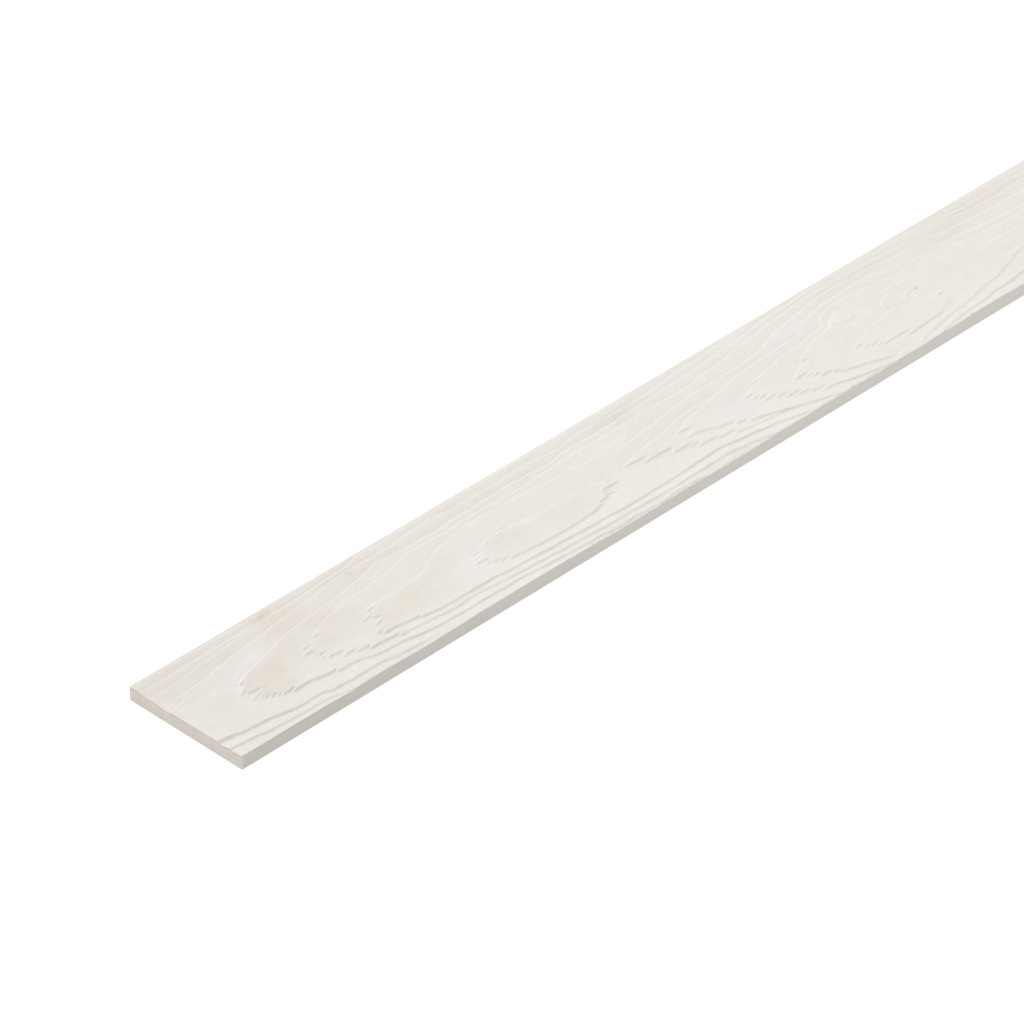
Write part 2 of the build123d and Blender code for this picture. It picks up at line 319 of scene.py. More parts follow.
def ring_side(k, sign, s):
    """Where ring k's far (+1) or near (-1) side lies at s."""
    z = np.interp(s, S_ALL, Z_ALL)
    yc = np.interp(s, S_ALL, YC_ALL)
    own = np.interp(s, S_ALL, soft(wander(LENGTH + 60, 22, 0.55, 100 + 7 * k + (sign > 0)), 10))
    half = np.sqrt(np.maximum(RINGS[k] ** 2 - z**2, 0.0))
    return yc + sign * half + (np.interp(s, S_ALL, DRIFT) + own) * np.minimum(1, half / 12)


def spans(k, lo, hi):
    """The stretches of s in which ring k shows, between lo and hi."""
    s = np.arange(lo, hi, 1.0)
    on = np.interp(s, S_ALL, Z_ALL) < RINGS[k] - 0.02
    out, start = [], None
    for i, v in enumerate(on):
        if v and start is None:
            start = s[i]
        if not v and start is not None:
            out.append((start, s[i - 1]))
            start = None
    if start is not None:
        out.append((start, s[-1]))
    return out


def frayed(s_tip, yc, far_y, near_y, to, r):
    """The frayed point of a ring at s_tip, between its far and near sides, with
    fingers that end towards to (-1 the shown end, +1 the other).  Points run
    from the far side to the near side for -1 and from the near side up for +1."""
    height = max(far_y - near_y, 4.0)
    n = max(3, int(round(height / r.uniform(2.0, 2.7))))
    ys = np.linspace(far_y, near_y, n + 1)
    mids = 0.5 * (ys[1:] + ys[:-1]) + r.uniform(-0.35, 0.35, n)
    pts = []
    for j, ym in enumerate(mids):
        u = (ym - yc) / (0.5 * height)
        back = 9.0 * u * u * (1.0 + 0.5 * (u < 0))                 # the curve of the point
        reach = r.uniform(2.5, 6.0) + (r.uniform(2, 5) if r.uniform() < 0.3 else 0.0)
        tip = s_tip - to * (back - 0.35 * reach)
        root = s_tip - to * (back + 0.65 * reach)
        lean = r.uniform(-0.2, 0.5)
        pts.append((tip, ym + lean, root, ym - 0.1 + 0.4 * r.uniform()))
    out = []
    for tip, yt, root, yr in pts:
        if to < 0:
            out += [(tip, yt + 0.3), (tip + 0.3, yt - 0.1), (root, yr), (root + 0.3, yr - 0.6)]
        else:
            out = [(root - 0.3, yr - 0.7), (tip - 0.3, yt - 0.2), (tip, yt + 0.25), (root, yr + 0.3)] + out
    return out


def side_points(k, sign, lo, hi, step=4.0):
    s = np.arange(lo, hi + 0.1, step)
    return [(float(a), float(b)) for a, b in zip(s, ring_side(k, sign, s))]


def joined(known, k, sign, to_s, step=4.0):
    """Points of ring k's side from the end of known lines to to_s, easing from where the line was."""
    s0, y0 = known
    s = np.arange(s0 + step, to_s + 0.1, step)
    y = ring_side(k, sign, s)
    y += (y0 - ring_side(k, sign, np.array([s0]))[0]) * np.exp(-(s - s0) / 55.0)
    return [(float(a), float(b)) for a, b in zip(s, y)]


NEAR_A, FAR_A = 0.72, 0.36
contours = []


def closing(k, near_from, far_from):
    """Right-hand end of ring k's first stretch: near side, frayed point, far side, as sections."""
    end = [b for a, b in spans(k, 560, LENGTH + 40) if a < 640]
    end = end[0] if end else 640.0
    end = min(end, LENGTH + 20)
    r = np.random.default_rng(900 + k)
    cut = end - 14.0
    near = joined(near_from, k, -1, cut) if near_from else side_points(k, -1, 572.0, cut)
    far = joined(far_from, k, +1, cut)
    if end > LENGTH:
        return [run(near, NEAR_A), run(far[::-1], FAR_A)]
    point = frayed(end - 3.0, np.interp(end, S_ALL, YC_ALL), far[-1][1] - 0.5, near[-1][1] + 0.5, +1, r)
    return [run(near, NEAR_A), teeth(point, 0.62), run(far[::-1], FAR_A)]


# The traced figure at the shown end, ring by ring, carried on to where each ring closes.
contours.append([run(R1_NEAR, 0.5, fade_in=6), teeth(R1_END, 0.5), run(R1_FAR, 0.2, 0.14, fade_out=12)])
c = closing(1, R2_NEAR[-1], C7_FAR[0])
contours.append([run(R2_NEAR, 0.62)] + c + [run(C7_FAR, 0.28), run(C7_FAINT, 0.1), run(C7_FAR2, 0.32),
                                            teeth(C7_TIP, 0.6, 0.75), run(C7_NEAR, 0.86, 0.74, fade_out=16)])
c = closing(2, None, C5_FAR[0])
contours.append(c + [run(C5_FAR, 0.28), run(C5_FAR2, 0.32), run(C5_JOG, 0.2), run(C5_FAR3, 0.34),
                     teeth(C5_TIP, 0.62, 0.75), run(C5_NEAR, 0.62, fade_out=8)])
c = closing(3, None, C3_FAR[0])
c3_ring = len(contours)
contours.append(c + [run(C3_FAR, 0.33), teeth(C3_TIP, 0.64), run(C3_STEP, 0.9), run(C3_NEAR, 0.84, 0.8, fade_out=14)])
c = closing(4, None, C2_FAR[0])
contours.append(c + [run(C2_FAR, 0.33), teeth(C2_TIP, 0.66), run(C2_STEP, 0.84), run(C2_NEAR, 0.72, 0.7, fade_out=10)])
c = closing(5, None, L1_FAR[0])
c1_ring = len(contours)
contours.append(c + [run(L1_FAR, 0.36), run(C1_FAR, 0.33, 0.44), teeth(C1_TIP, 0.72), run(C1_STEP, 0.86), run(C1_STEP2, 0.86),
                     run(C1_NEAR, 0.8, 0.6)])
c = closing(6, None, L0_FAR[0])
contours.append(c + [run(L0_FAR, 0.38)])
c = closing(7, None, LT_FAR[0])
contours.append(c + [run(LT_FAR, 0.34)])
c4_ring = len(contours)
contours.append([run(C4_FAR, 0.2, 0.32), teeth(C4_LEFT, 0.6), run(C4_NEAR, 0.64), teeth(C4_RIGHT, 0.72)])
contours.append([run(C6_FAR, 0.28, fade_in=8), teeth(C6_TIP, 0.57, 0.75), run(C6_NEAR, 0.84, 0.7, fade_out=12)])
contours.append([run(C8_FAR, 0.28, 0.22, fade_in=10), teeth(C8_TIP, 0.59, 0.75), run(C8_NEAR, 0.78, 0.58, fade_out=8)])
contours.append([run(EDGE_BUMP, 0.28)])
contours.append([run(C9_FAR, 0.28, 0.16, fade_in=10), teeth(C9_TIP, 0.54), run(C9_NEAR, 0.58, fade_out=6)])
contours.append([run(C9_RIGHT, 0.62, fade_in=5), teeth(C9_END, 0.4)])
contours.append([run(KNOT_1, 0.34)])
contours.append([run(KNOT_2, 0.31)])
contours.append([run(FD, 0.34, 0.46, fade_out=4)])
contours.append([run(FB, 0.38, 0.44)])
contours.append([run(FC, 0.26, 0.3, fade_in=8)])
contours.append([run(FA, 0.5, fade_in=10)])
contours.append([run(F5, 0.5, 0.62, fade_in=3)])
contours.append([run(N1, 1.05, 0.6, fade_out=10)])
contours.append([run(N2, 0.92, 0.7, fade_out=14)])

# Rings beyond, along the unseen length.
for k in range(len(RINGS)):
    for lo, hi in spans(k, 560, LENGTH + 40):
        if lo < 640:
            continue                                  # carried on from the traced figure
        r = np.random.default_rng(300 + 11 * k + int(lo))
        a, b = lo + 14.0, hi - 14.0
        if hi - lo < 40:
            continue
        left_open, right_open = lo <= 640, hi >= LENGTH + 30
        b = hi if right_open else b
        far, near = side_points(k, +1, a, b), side_points(k, -1, a, b)
        left = frayed(lo + 3.0, np.interp(lo, S_ALL, YC_ALL), far[0][1] - 0.5, near[0][1] + 0.5, -1, r)
        if right_open:
            contours.append([run(far[::-1], FAR_A), teeth(left, 0.62), run(near, NEAR_A)])
        else:
            right = frayed(hi - 3.0, np.interp(hi, S_ALL, YC_ALL), far[-1][1] - 0.5, near[-1][1] + 0.5, +1, r)
            contours.append([run(far[::-1], FAR_A), teeth(left, 0.62), run(near, NEAR_A), teeth(right + [far[-1]], 0.62)])


def catmull(points, step):
    """Points along a smooth curve through these, about step apart."""
    p = np.array(points, float)
    p = np.vstack([2 * p[0] - p[1], p, 2 * p[-1] - p[-2]])
    out = []
    for i in range(1, len(p) - 2):
        n = max(1, int(math.ceil(np.linalg.norm(p[i + 1] - p[i]) / step)))
        t = (np.arange(n) / n)[:, None]
        a, b, cc, d = p[i - 1], p[i], p[i + 1], p[i + 2]
        out.append(0.5 * (2 * b + (cc - a) * t + (2 * a - 5 * b + 4 * cc - d) * t**2 + (3 * b - a - 3 * cc + d) * t**3))
    out.append(p[-2:-1])
    return np.vstack(out)


def polyline(sections, seed):
    """One row of (s, y, height, frayed) from a contour's sections."""
    r = np.random.default_rng(seed)
    parts = []
    for sec in sections:
        if sec[0] == "run":
            q = catmull(sec[1], 1.6)
            n = len(q)
            along = np.r_[0, np.cumsum(np.linalg.norm(np.diff(q, axis=0), axis=1))]
            # short fibres step the line a little from side to side, and vary its height
            jag = np.interp(along, np.arange(0, along[-1] + 9, 3.1), r.normal(0, 0.13, int((along[-1] + 9) / 3.1) + 1)[: len(np.arange(0, along[-1] + 9, 3.1))])
            jag *= np.minimum(1, np.minimum(along, along[-1] - along) / 4.0)
            q[:, 1] += jag
            h = np.linspace(sec[2], sec[3], n)
            grid = np.arange(0, along[-1] + 18, 8.0)
            h *= np.interp(along, grid, r.uniform(0.78, 1.18, len(grid)))
            if sec[4]:
                h *= np.clip(along / sec[4], 0, 1)
            if sec[5]:
                h *= np.clip((along[-1] - along) / sec[5], 0, 1)
            parts.append(np.c_[q, h, np.zeros(n)])
        else:
            q = np.array(sec[1], float)
            parts.append(np.c_[q, sec[2] * r.uniform(0.85, 1.12, len(q)), np.full(len(q), sec[3])])
    return np.vstack(parts)


# -------------------------------------------------------------- height of the face
EDGE = 0.25                       # arris of the face, mm
S_FINE = 640.0
xs = np.unique(np.round(np.r_[EDGE, np.arange(1.0, S_FINE, 0.6), np.arange(S_FINE, LENGTH - 0.6, 1.2), LENGTH - EDGE], 4))
ys = np.linspace(EDGE, WIDTH - EDGE, 249)
NX, NY = len(xs), len(ys)
DY = ys[1] - ys[0]
REACH = 12.0                      # a line's effect ends this far from it



def blurred(v, cells_s, cells_y):
    """v evened out over about this many grid cells."""
    for axis, cells in ((0, cells_s), (1, cells_y)):
        n = int(2.6 * cells) + 1
        k = np.exp(-0.5 * (np.arange(-n, n + 1) / cells) ** 2)
        k = (k / k.sum()).astype(np.float32)
        pad = np.pad(v, [(n, n) if a == axis else (0, 0) for a in (0, 1)], mode="edge")
        size = v.shape[axis]
        v = sum(w * (pad[m:m + size] if axis == 0 else pad[:, m:m + size]) for m, w in enumerate(k))
    return v


height = np.zeros((NX, NY), np.float32)
inside = {}                       # 1 within a figure, 0 outside it, near its line
for ci, sections in enumerate(contours):
    line = polyline(sections, 4000 + ci)
    keep = (line[:, 0] > -14) & (line[:, 0] < LENGTH + 14) & (line[:, 1] > -14) & (line[:, 1] < WIDTH + 14)
    best = np.full((NX, NY), REACH**2, np.float32)
    perp = np.zeros((NX, NY), np.float32)
    side = np.zeros((NX, NY), np.float32)
    amp = np.zeros((NX, NY), np.float32)
    near_ness = np.zeros((NX, NY), np.float32)
    fray = np.zeros((NX, NY), np.float32)
    for (s0, y0, h0, f0), (s1, y1, h1, f1), k0, k1 in zip(line[:-1], line[1:], keep[:-1], keep[1:]):
        ds, dy = s1 - s0, y1 - y0
        l2 = ds * ds + dy * dy
        if l2 < 1e-8 or not (k0 or k1):
            continue
        i0, i1 = np.searchsorted(xs, [min(s0, s1) - REACH, max(s0, s1) + REACH])
        j0, j1 = np.searchsorted(ys, [min(y0, y1) - REACH, max(y0, y1) + REACH])
        if i0 >= i1 or j0 >= j1:
            continue
        px = (xs[i0:i1] - s0)[:, None].astype(np.float32)
        py = (ys[j0:j1] - y0)[None, :].astype(np.float32)
        t = np.clip((px * ds + py * dy) / l2, 0, 1)
        qx, qy = px - t * ds, py - t * dy
        d2 = qx * qx + qy * qy
        cross = (ds * py - dy * px) / math.sqrt(l2)          # left of the line is positive: the raised side
        ac = np.abs(cross)
        b = best[i0:i1, j0:j1]
        p = perp[i0:i1, j0:j1]
        tie = np.abs(d2 - b) <= 1e-4 * (1 + b)
        new = (d2 < b - 1e-4 * (1 + b)) | (tie & (ac > p))
        best[i0:i1, j0:j1] = np.where(new, np.minimum(d2, b), b)
        perp[i0:i1, j0:j1] = np.where(new, ac, p)
        side[i0:i1, j0:j1] = np.where(new, np.sign(cross), side[i0:i1, j0:j1])
        amp[i0:i1, j0:j1] = np.where(new, h0 + (h1 - h0) * t, amp[i0:i1, j0:j1])
        facing = 0.5 + 0.5 * ds / math.sqrt(l2)              # 1 on a near side, 0 on a far side
        near_ness[i0:i1, j0:j1] = np.where(new, facing, near_ness[i0:i1, j0:j1])
        fray[i0:i1, j0:j1] = np.where(new, min(f0, f1), fray[i0:i1, j0:j1])
    on = best < REACH**2
    d = -np.sqrt(best) * side                                # positive outside, where the face is low
    if ci in (c1_ring, c3_ring, c4_ring):
        inside[ci] = np.where(on, np.clip(0.5 - d / 1.2, 0, 1), -1.0)
    lip = 0.24 + 0.26 * blurred(near_ness, 5.0, 7.0)
    wall = np.where(fray > 0.5, 2.5 - np.where(fray > 0.9, 0.85, 0.3) * near_ness, 1.25 + 0.75 * near_ness)
    amp *= np.where(fray > 0.5, np.where(fray > 0.9, 0.86, 0.86 + 0.2 * near_ness), 1.62 - 0.68 * near_ness)
    rows_on = np.flatnonzero(on.any(1))
    i0, i1 = max(rows_on[0] - 8, 0), rows_on[-1] + 9
    wall[i0:i1], amp[i0:i1] = blurred(wall[i0:i1], 1.6, 2.6), blurred(amp[i0:i1], 1.6, 2.6)
    l_in, l_out = 4.6, 4.2
    up = lip * np.exp(np.minimum(d, 0) / l_in)
    down = -(1 - lip) * np.exp(-np.maximum(d - wall, 0) / l_out)
    t = np.clip((d + 0.35 * wall) / wall, 0, 1)
    t = 1 - (1 - t) ** 1.6
    t = t * t * (3 - 2 * t) * 0.5 + t * 0.5
    value = amp * (up * (1 - t) + down * t) * (1 - best / REACH**2)
    value = np.where(on, value, 0).astype(np.float32)
    # away from the line the ground is smooth, whatever the line does
    part = value[i0:i1]
    ease = np.clip((np.abs(d[i0:i1]) - 1.1) / 2.2, 0, 1)
    ease = ease * ease * (3 - 2 * ease)
    height[i0:i1] += part + (blurred(part, 2.4, 4.6) - part) * ease


def field_noise(cell_s, cell_y, size, seed):
    """Smooth random heights over the face, cells of about cell_s by cell_y mm."""
    r = np.random.default_rng(seed)
    a, b = int(LENGTH / cell_s) + 4, int(WIDTH / cell_y) + 4
    g = r.normal(0, 1, (a, b))
    u = xs / cell_s + 0.5
    v = ys / cell_y + 0.5
    i, j = u.astype(int), v.astype(int)
    fu, fv = (u - i)[:, None], (v - j)[None, :]
    fu, fv = fu * fu * (3 - 2 * fu), fv * fv * (3 - 2 * fv)
    gi = lambda di, dj: g[np.ix_(i + di, j + dj)]
    return size * ((gi(0, 0) * (1 - fu) + gi(1, 0) * fu) * (1 - fv) + (gi(0, 1) * (1 - fu) + gi(1, 1) * fu) * fv)


height += field_noise(70, 18, 0.07, 21).astype(np.float32)
height += field_noise(24, 9, 0.03, 22).astype(np.float32)

far_half = np.clip((ys - 24.0) / 40.0, 0, 1)
height += (0.34 * far_half * far_half * (3 - 2 * far_half))[None, :].astype(np.float32)

# The lips reach the full thickness; nothing stands above it.
top = np.quantile(height, 0.9985)
h = height - top
h = np.where(h > -0.15, -0.15 + 0.15 * np.tanh((h + 0.15) / 0.15), h)
h = THICK - 0.02 + h

_, ring_slope = np.gradient(h, xs, ys)      # of the ring lines alone

# The saw cut through the relief where it happened to be, so the upper edges rise
# and fall: across the shown end, and along the near edge.  The far edge is even.
END_Y = [0, 2, 4, 6, 7.2, 8.8, 10, 12, 14, 16, 17, 20, 25, 30, 40, 46, 48, 49.6, 50.5, 52, 55, 58, 60, 62, 64, 66, 68, 70, 72,
         74, 75]
END_Z = [7.85, 7.75, 7.55, 7.5, 7.45, 7.75, 7.55, 7.2, 6.75, 8.0, 7.95, 7.8, 7.65, 7.55, 7.55, 7.55, 7.35, 6.8, 6.7, 6.9, 7.05,
         7.3, 7.5, 7.3, 7.4, 7.8, 7.8, 7.55, 7.75, 7.9, 7.9]
NEAR_S = [0, 20, 40, 57, 66, 70, 74, 85, 100, 112, 122, 130, 142, 153, 195, 204, 220, 237, 249, 270, 280, 290, 300, 309, 320,
          340, 350, 369, 387, 393, 411, 425, 441, 453, 468, 478, 489, 507, 531, 543, 560, 600]
NEAR_Z = [7.75, 7.75, 7.75, 7.55, 7.2, 6.9, 7.55, 7.85, 7.6, 7.2, 7.0, 7.35, 7.35, 7.8, 7.75, 7.5, 7.3, 7.0, 6.45, 6.55, 6.45,
          7.0, 7.4, 6.85, 6.75, 6.6, 6.8, 7.4, 7.0, 7.45, 7.45, 7.2, 6.75, 7.4, 7.05, 7.55, 7.3, 7.75, 7.75, 7.3, 7.3, 7.3]


def eased(v, at, sigma):
    """v, known at these places, evened out over about sigma."""
    w = np.exp(-0.5 * ((at[:, None] - at[None, :]) / sigma) ** 2)
    return (w * v[None, :]).sum(1) / w.sum(1)


lack = eased(np.interp(ys, END_Y, END_Z) - h[0], ys, 1.3)
h += np.exp(-((xs / 26.0) ** 2))[:, None] * lack[None, :]
seen = np.flatnonzero(xs < 600)
lack = eased(np.interp(xs[seen], NEAR_S, NEAR_Z) - h[seen, 0], xs[seen], 2.0)
lack *= np.clip((600 - xs[seen]) / 40, 0, 1) * np.clip(xs[seen] / 8, 0, 1)
h[seen] += lack[:, None] * np.exp(-((ys / 3.6) ** 1.5))[None, :]
rise = np.clip((ys - 60.0) / 14.5, 0, 1)
rise = rise * rise * (3 - 2 * rise)
even = 7.93 + soft(wander(LENGTH, 90, 0.03, 31), 20)
h += (np.interp(xs, np.arange(0, LENGTH + 1.0), even) - h[:, -1])[:, None] * rise[None, :]
h = np.where(h > THICK - 0.2, THICK - 0.2 + 0.18 * np.tanh((h - THICK + 0.2) / 0.18), h)

# Where a ring line runs close along the far edge, a shallow groove lies between the two.
line_y = np.interp(xs, [0, 30, 60, 75, 146, 156, 180, 200, 240, 290, 310], [73.5, 73.4, 73.1, 72.8, 72.9, 73.2, 73.5, 73.3, 73.6, 73.6, 73.9])
depth = np.interp(xs, [0, 58, 76, 142, 158, 298, 318], [0.3, 0.3, 0, 0, 0.3, 0.3, 0])
u = np.clip((ys[None, :] - line_y[:, None] + 0.3) / 1.1, 0, 1)
back_up = np.clip((ys[None, :] - line_y[:, None] - 0.7) / np.maximum(WIDTH - EDGE - 0.7 - line_y, 0.3)[:, None], 0, 1)
h -= depth[:, None] * u * u * (3 - 2 * u) * (1 - 0.62 * back_up)

# The next line in, near the shown end, drops to low ground that rises slowly to the edge.
line_y = np.interp(xs, [0, 30, 60, 80, 100], [67.9, 68.1, 68.3, 68.4, 68.8])
depth = np.interp(xs, [4, 12, 62, 92], [0, 0.28, 0.28, 0])
u = np.clip((ys[None, :] - line_y[:, None] + 0.2) / 2.1, 0, 1)
back_up = np.clip((ys[None, :] - line_y[:, None] - 1.9) / 3.0, 0, 1)
h -= depth[:, None] * u * u * (3 - 2 * u) * (1 - back_up)

# Small chips along the sawn near edge, most of them in one stretch, and a few along the far one.
chips = np.random.default_rng(77)
for edge, count, lo, hi in ((0, 170, 4, LENGTH - 4), (0, 26, 282, 372), (1, 40, 60, LENGTH - 4), (0, 12, 66, 100), (0, 16, 390, 448)):
    for n in range(count):
        s_mid = chips.uniform(lo, hi)
        half, wide, deep = chips.uniform(0.5, 2.2), chips.uniform(0.35, 1.0), chips.uniform(0.08, 0.34)
        i0, i1 = np.searchsorted(xs, [s_mid - half, s_mid + half])
        if i1 - i0 < 1:
            continue
        off = ys - ys[0] if edge == 0 else ys[-1] - ys
        deep *= 1.0 if edge == 0 else 0.2
        prof = np.clip(1 - off / wide, 0, 1)
        ends = np.sqrt(np.clip(1 - ((xs[i0:i1] - s_mid) / half) ** 2, 0, 1))
        h[i0:i1] -= deep * ends[:, None] * prof[None, :]

gs, gy = np.gradient(h, xs, ys)


def sample(field, s, y):
    """Field read between its grid points."""
    i = np.clip(np.searchsorted(xs, s) - 1, 0, NX - 2)
    fu = np.clip((s - xs[i]) / (xs[i + 1] - xs[i]), 0, 1)
    v = np.clip((y - ys[0]) / DY, 0, NY - 1.001)
    j = v.astype(int)
    fv = v - j
    return ((field[i, j] * (1 - fu) + field[i + 1, j] * fu) * (1 - fv)
            + (field[i, j + 1] * (1 - fu) + field[i + 1, j + 1] * fu) * fv)


# ------------------------------------------------------------ tint of the face
# Warmer and cooler clouds, 1 for plain beige and below 0 for greyish white, most of them
# tints of the finish: (s, y, half length, half width, tilt in degrees, strength, figure).
# A cloud kept inside or outside a figure ends at its line.
IN_C1, OUT_C1, IN_C3, IN_C4 = (c1_ring, 1), (c1_ring, 0), (c3_ring, 1), (c4_ring, 1)
CLOUDS = [
    (47, 33, 15, 13, 12, 0.9, IN_C1), (66, 44, 14, 5.5, 22, 0.3, IN_C1), (90, 46, 26, 11, 12, 0.36, IN_C1),
    (101, 37, 13, 11, 0, 0.22, IN_C1), (70, 27, 11, 6, -10, -0.08, IN_C1), (66, 20, 12, 3, -10, -0.2, IN_C1),
    (97, 26, 9, 4, -8, -0.3, IN_C1), (108, 16, 12, 3, -6, 0.4, IN_C1),
    # the first here, just outside C1's far line, is partly a whiter tint and partly painted highlight on the slope that
    # faces the light
    (50, 47.5, 12, 4.2, 24, -1.0, OUT_C1), (36, 41, 7, 6, 35, -0.75, OUT_C1), (33, 24, 7, 9, -30, -0.35, OUT_C1),
    (78, 71.5, 8, 4, 0, 0.5, None), (85, 66, 15, 11, 0, 0.64, None), (85, 58.5, 13, 3, 0, 0.25, None), (108, 60, 6, 8, 0, -0.1, None),
    (18, 72, 34, 4, 0, 0.58, None), (34, 66, 44, 5, 0, 0.05, None), (20, 60, 30, 4, 3, 0.48, None),
    (20, 52, 26, 5, 8, 0.3, None), (20, 37, 10, 8, 0, 0.2, None), (7, 37, 6, 7, 0, -0.2, None),
    # (32, 73.8) here: a thin whitish line along the light line by the far edge, painted highlight
    (5, 20, 6, 3, 0, -0.3, None), (19.0, 43.2, 5, 1.2, -12, -0.9, None), (24.6, 44.0, 3.4, 1.1, 25, -0.7, None), (32, 73.8, 42, 0.8, -0.8, -0.55, None), (50, 75.2, 58, 0.6, 0, 0.2, None),
    (130, 66, 16, 6, 0, 0.48, None), (165, 70, 50, 5, 0, 0.14, None), (240, 68, 60, 7, 0, 0.08, None),
    # (195, 73.9) and (275, 74.1): thin whitish lines along the light line by the far edge, painted highlight
    (195, 73.9, 42, 0.7, 0, -0.25, None), (275, 74.1, 40, 0.7, 0, -0.25, None), (205, 71.6, 60, 1.6, 0, 0.3, None),
    (275, 71.4, 45, 1.8, 0, 0.34, None),
    (296, 68, 20, 5, 0, 0.12, None), (318, 65.5, 20, 5, 0, 0.36, None), (320, 55, 20, 5, 0, 0.22, None),
    (137, 31, 25, 10, 0, 0.48, IN_C3), (142, 30, 10, 7, 0, 0.25, IN_C3), (119, 25, 9, 5, 0, 0.3, IN_C3),
    (168, 40, 12, 7, 20, 0.42, None), (178, 32, 11, 11, 40, -0.36, None), (140, 49, 34, 5, 6, 0.03, None),
    (205, 30, 14, 9, 0, 0.6, IN_C4), (242, 27.5, 18, 8.5, 0, 0.6, IN_C4), (222, 31, 5, 8, 0, -0.35, IN_C4),
    (293, 51, 13, 3, 0, -0.35, None), (330, 47, 30, 6, 0, 0.15, None), (300, 20, 45, 8, 0, 0.02, None),
    (378, 36, 30, 8, 15, -0.12, None), (430, 55, 30, 7, 10, -0.12, None), (470, 48, 30, 5, 0, -0.15, None),
    (492, 69, 20, 6, 0, 0.4, None), (532, 66, 20, 7, -8, 0.05, None), (552, 60, 26, 6, -8, 0.22, None), (553, 72, 14, 4, 0, 0.4, None),
    (566, 64.5, 26, 4, 0, 0.2, None), (590, 67, 34, 7, 0, 0.45, None), (551, 57, 12, 3.5, -6, 0.5, None),
    (538, 36, 12, 5, 0, 0.3, None), (500, 20, 30, 9, 0, -0.02, None), (280, 7, 330, 13, 0, -0.18, None), (330, 70, 360, 7, 0, 0.1, None),
    (115, 50.5, 9, 4, 0, -0.42, None), (123, 39, 13, 2.6, -5, -0.34, None), (86, 33, 9, 4, 0, 0.36, None), (99, 9, 8, 3.6, -25, 0.36, None),
    (32, 56.5, 24, 2, 3, -0.26, None), (3, 50, 5, 3, 0, -0.36, None), (173, 54.5, 17, 3, 0, 0.28, None), (215, 37, 9, 2.6, 0, -0.36, None),
    (238, 34, 14, 2.2, -3, -0.36, None), (259, 30, 6, 3, -20, -0.4, None), (263, 52, 16, 3, 0, -0.24, None), (219, 11, 10, 3, -4, 0.32, None),
    (245, 10, 7, 2, 0, 0.26, None), (381, 9, 6, 3, -15, 0.36, None), (575, 52, 22, 3, -3, -0.36, None), (464, 38, 13, 6, 0, -0.24, None),
    (498, 37, 12, 8, 0, -0.22, None), (315, 1.0, 8, 1.3, 0, -0.25, None), (331, 0.8, 6, 1.0, 0, 0.7, None), (406, 1.2, 6, 1.2, 0, -0.4, None),
    (41, 42.5, 7, 2, 35, -0.4, None), (73, 57, 6, 3, 0, 0.34, None), (102, 56, 6, 3, 0, -0.34, None), (112, 22.5, 4, 3, 0, 0.36, None),
    (104, 4, 8, 3, -10, 0.32, None), (8, 66, 10, 3, 0, 0.28, None), (80, 74.6, 7, 0.9, 0, -0.5, None), (206, 66, 8, 3, 0, 0.28, None),
    (397, 69, 10, 5, 0, -0.3, None), (539, 55, 7, 3, 0, 0.28, None), (568, 70, 9, 3, 0, -0.34, None), (567, 40, 12, 4, 0, -0.28, None),
]
clouds = np.random.default_rng(63)
for n in range(120):
    w = clouds.uniform(-0.4, 0.75)
    CLOUDS.append((clouds.uniform(625, LENGTH), clouds.uniform(2, 73), clouds.uniform(10, 38), clouds.uniform(4, 9),
                   clouds.uniform(-12, 12), w, None))
warm = np.zeros((NX, NY), np.float32)
for s_c, y_c, r_s, r_y, tilt, power, where in CLOUDS:
    i0, i1 = np.searchsorted(xs, [s_c - 2.2 * max(r_s, r_y), s_c + 2.2 * max(r_s, r_y)])
    ca, sa = math.cos(math.radians(tilt)), math.sin(math.radians(tilt))
    du, dv = (xs[i0:i1] - s_c)[:, None], (ys - y_c)[None, :]
    q = ((du * ca + dv * sa) / r_s) ** 2 + ((dv * ca - du * sa) / r_y) ** 2
    blob = power / (1 + np.exp((np.sqrt(q) - 1) * 6.0))
    if where:
        m = inside[where[0]][i0:i1]
        m = np.where(m < 0, 1.0, m if where[1] else 1 - m)
        blob = blob * m
    warm[i0:i1] += blob

# Painted shade with some grime: a brownish darkening on the steps that face the near edge, away from the light, and in
# the low ground beside the lines.
low_ground = np.zeros((NX, NY), np.float32)
kernel = np.hanning(29)[1:-1]
kernel /= kernel.sum()
pad = np.pad(h, ((0, 0), (13, 13)), mode="edge")
for n, w in enumerate(kernel):
    low_ground += (w * pad[:, n:n + NY]).astype(np.float32)
low_ground = np.clip((low_ground - h - 0.04) / 0.3, 0, 1)
shade_and_grime = np.clip((ring_slope - 0.1) / 0.3, 0, 1)
shade_and_grime = np.clip(shade_and_grime * 0.9 + 0.3 * low_ground, 0, 1) * (1.0 + 0.3 * np.exp(-((xs / 170.0) ** 2)))[:, None]
highlight_tint = np.clip((-ring_slope - 0.04) / 0.2, 0, 1)      # painted highlight: the steps that face the far edge, towards the light, are made whiter

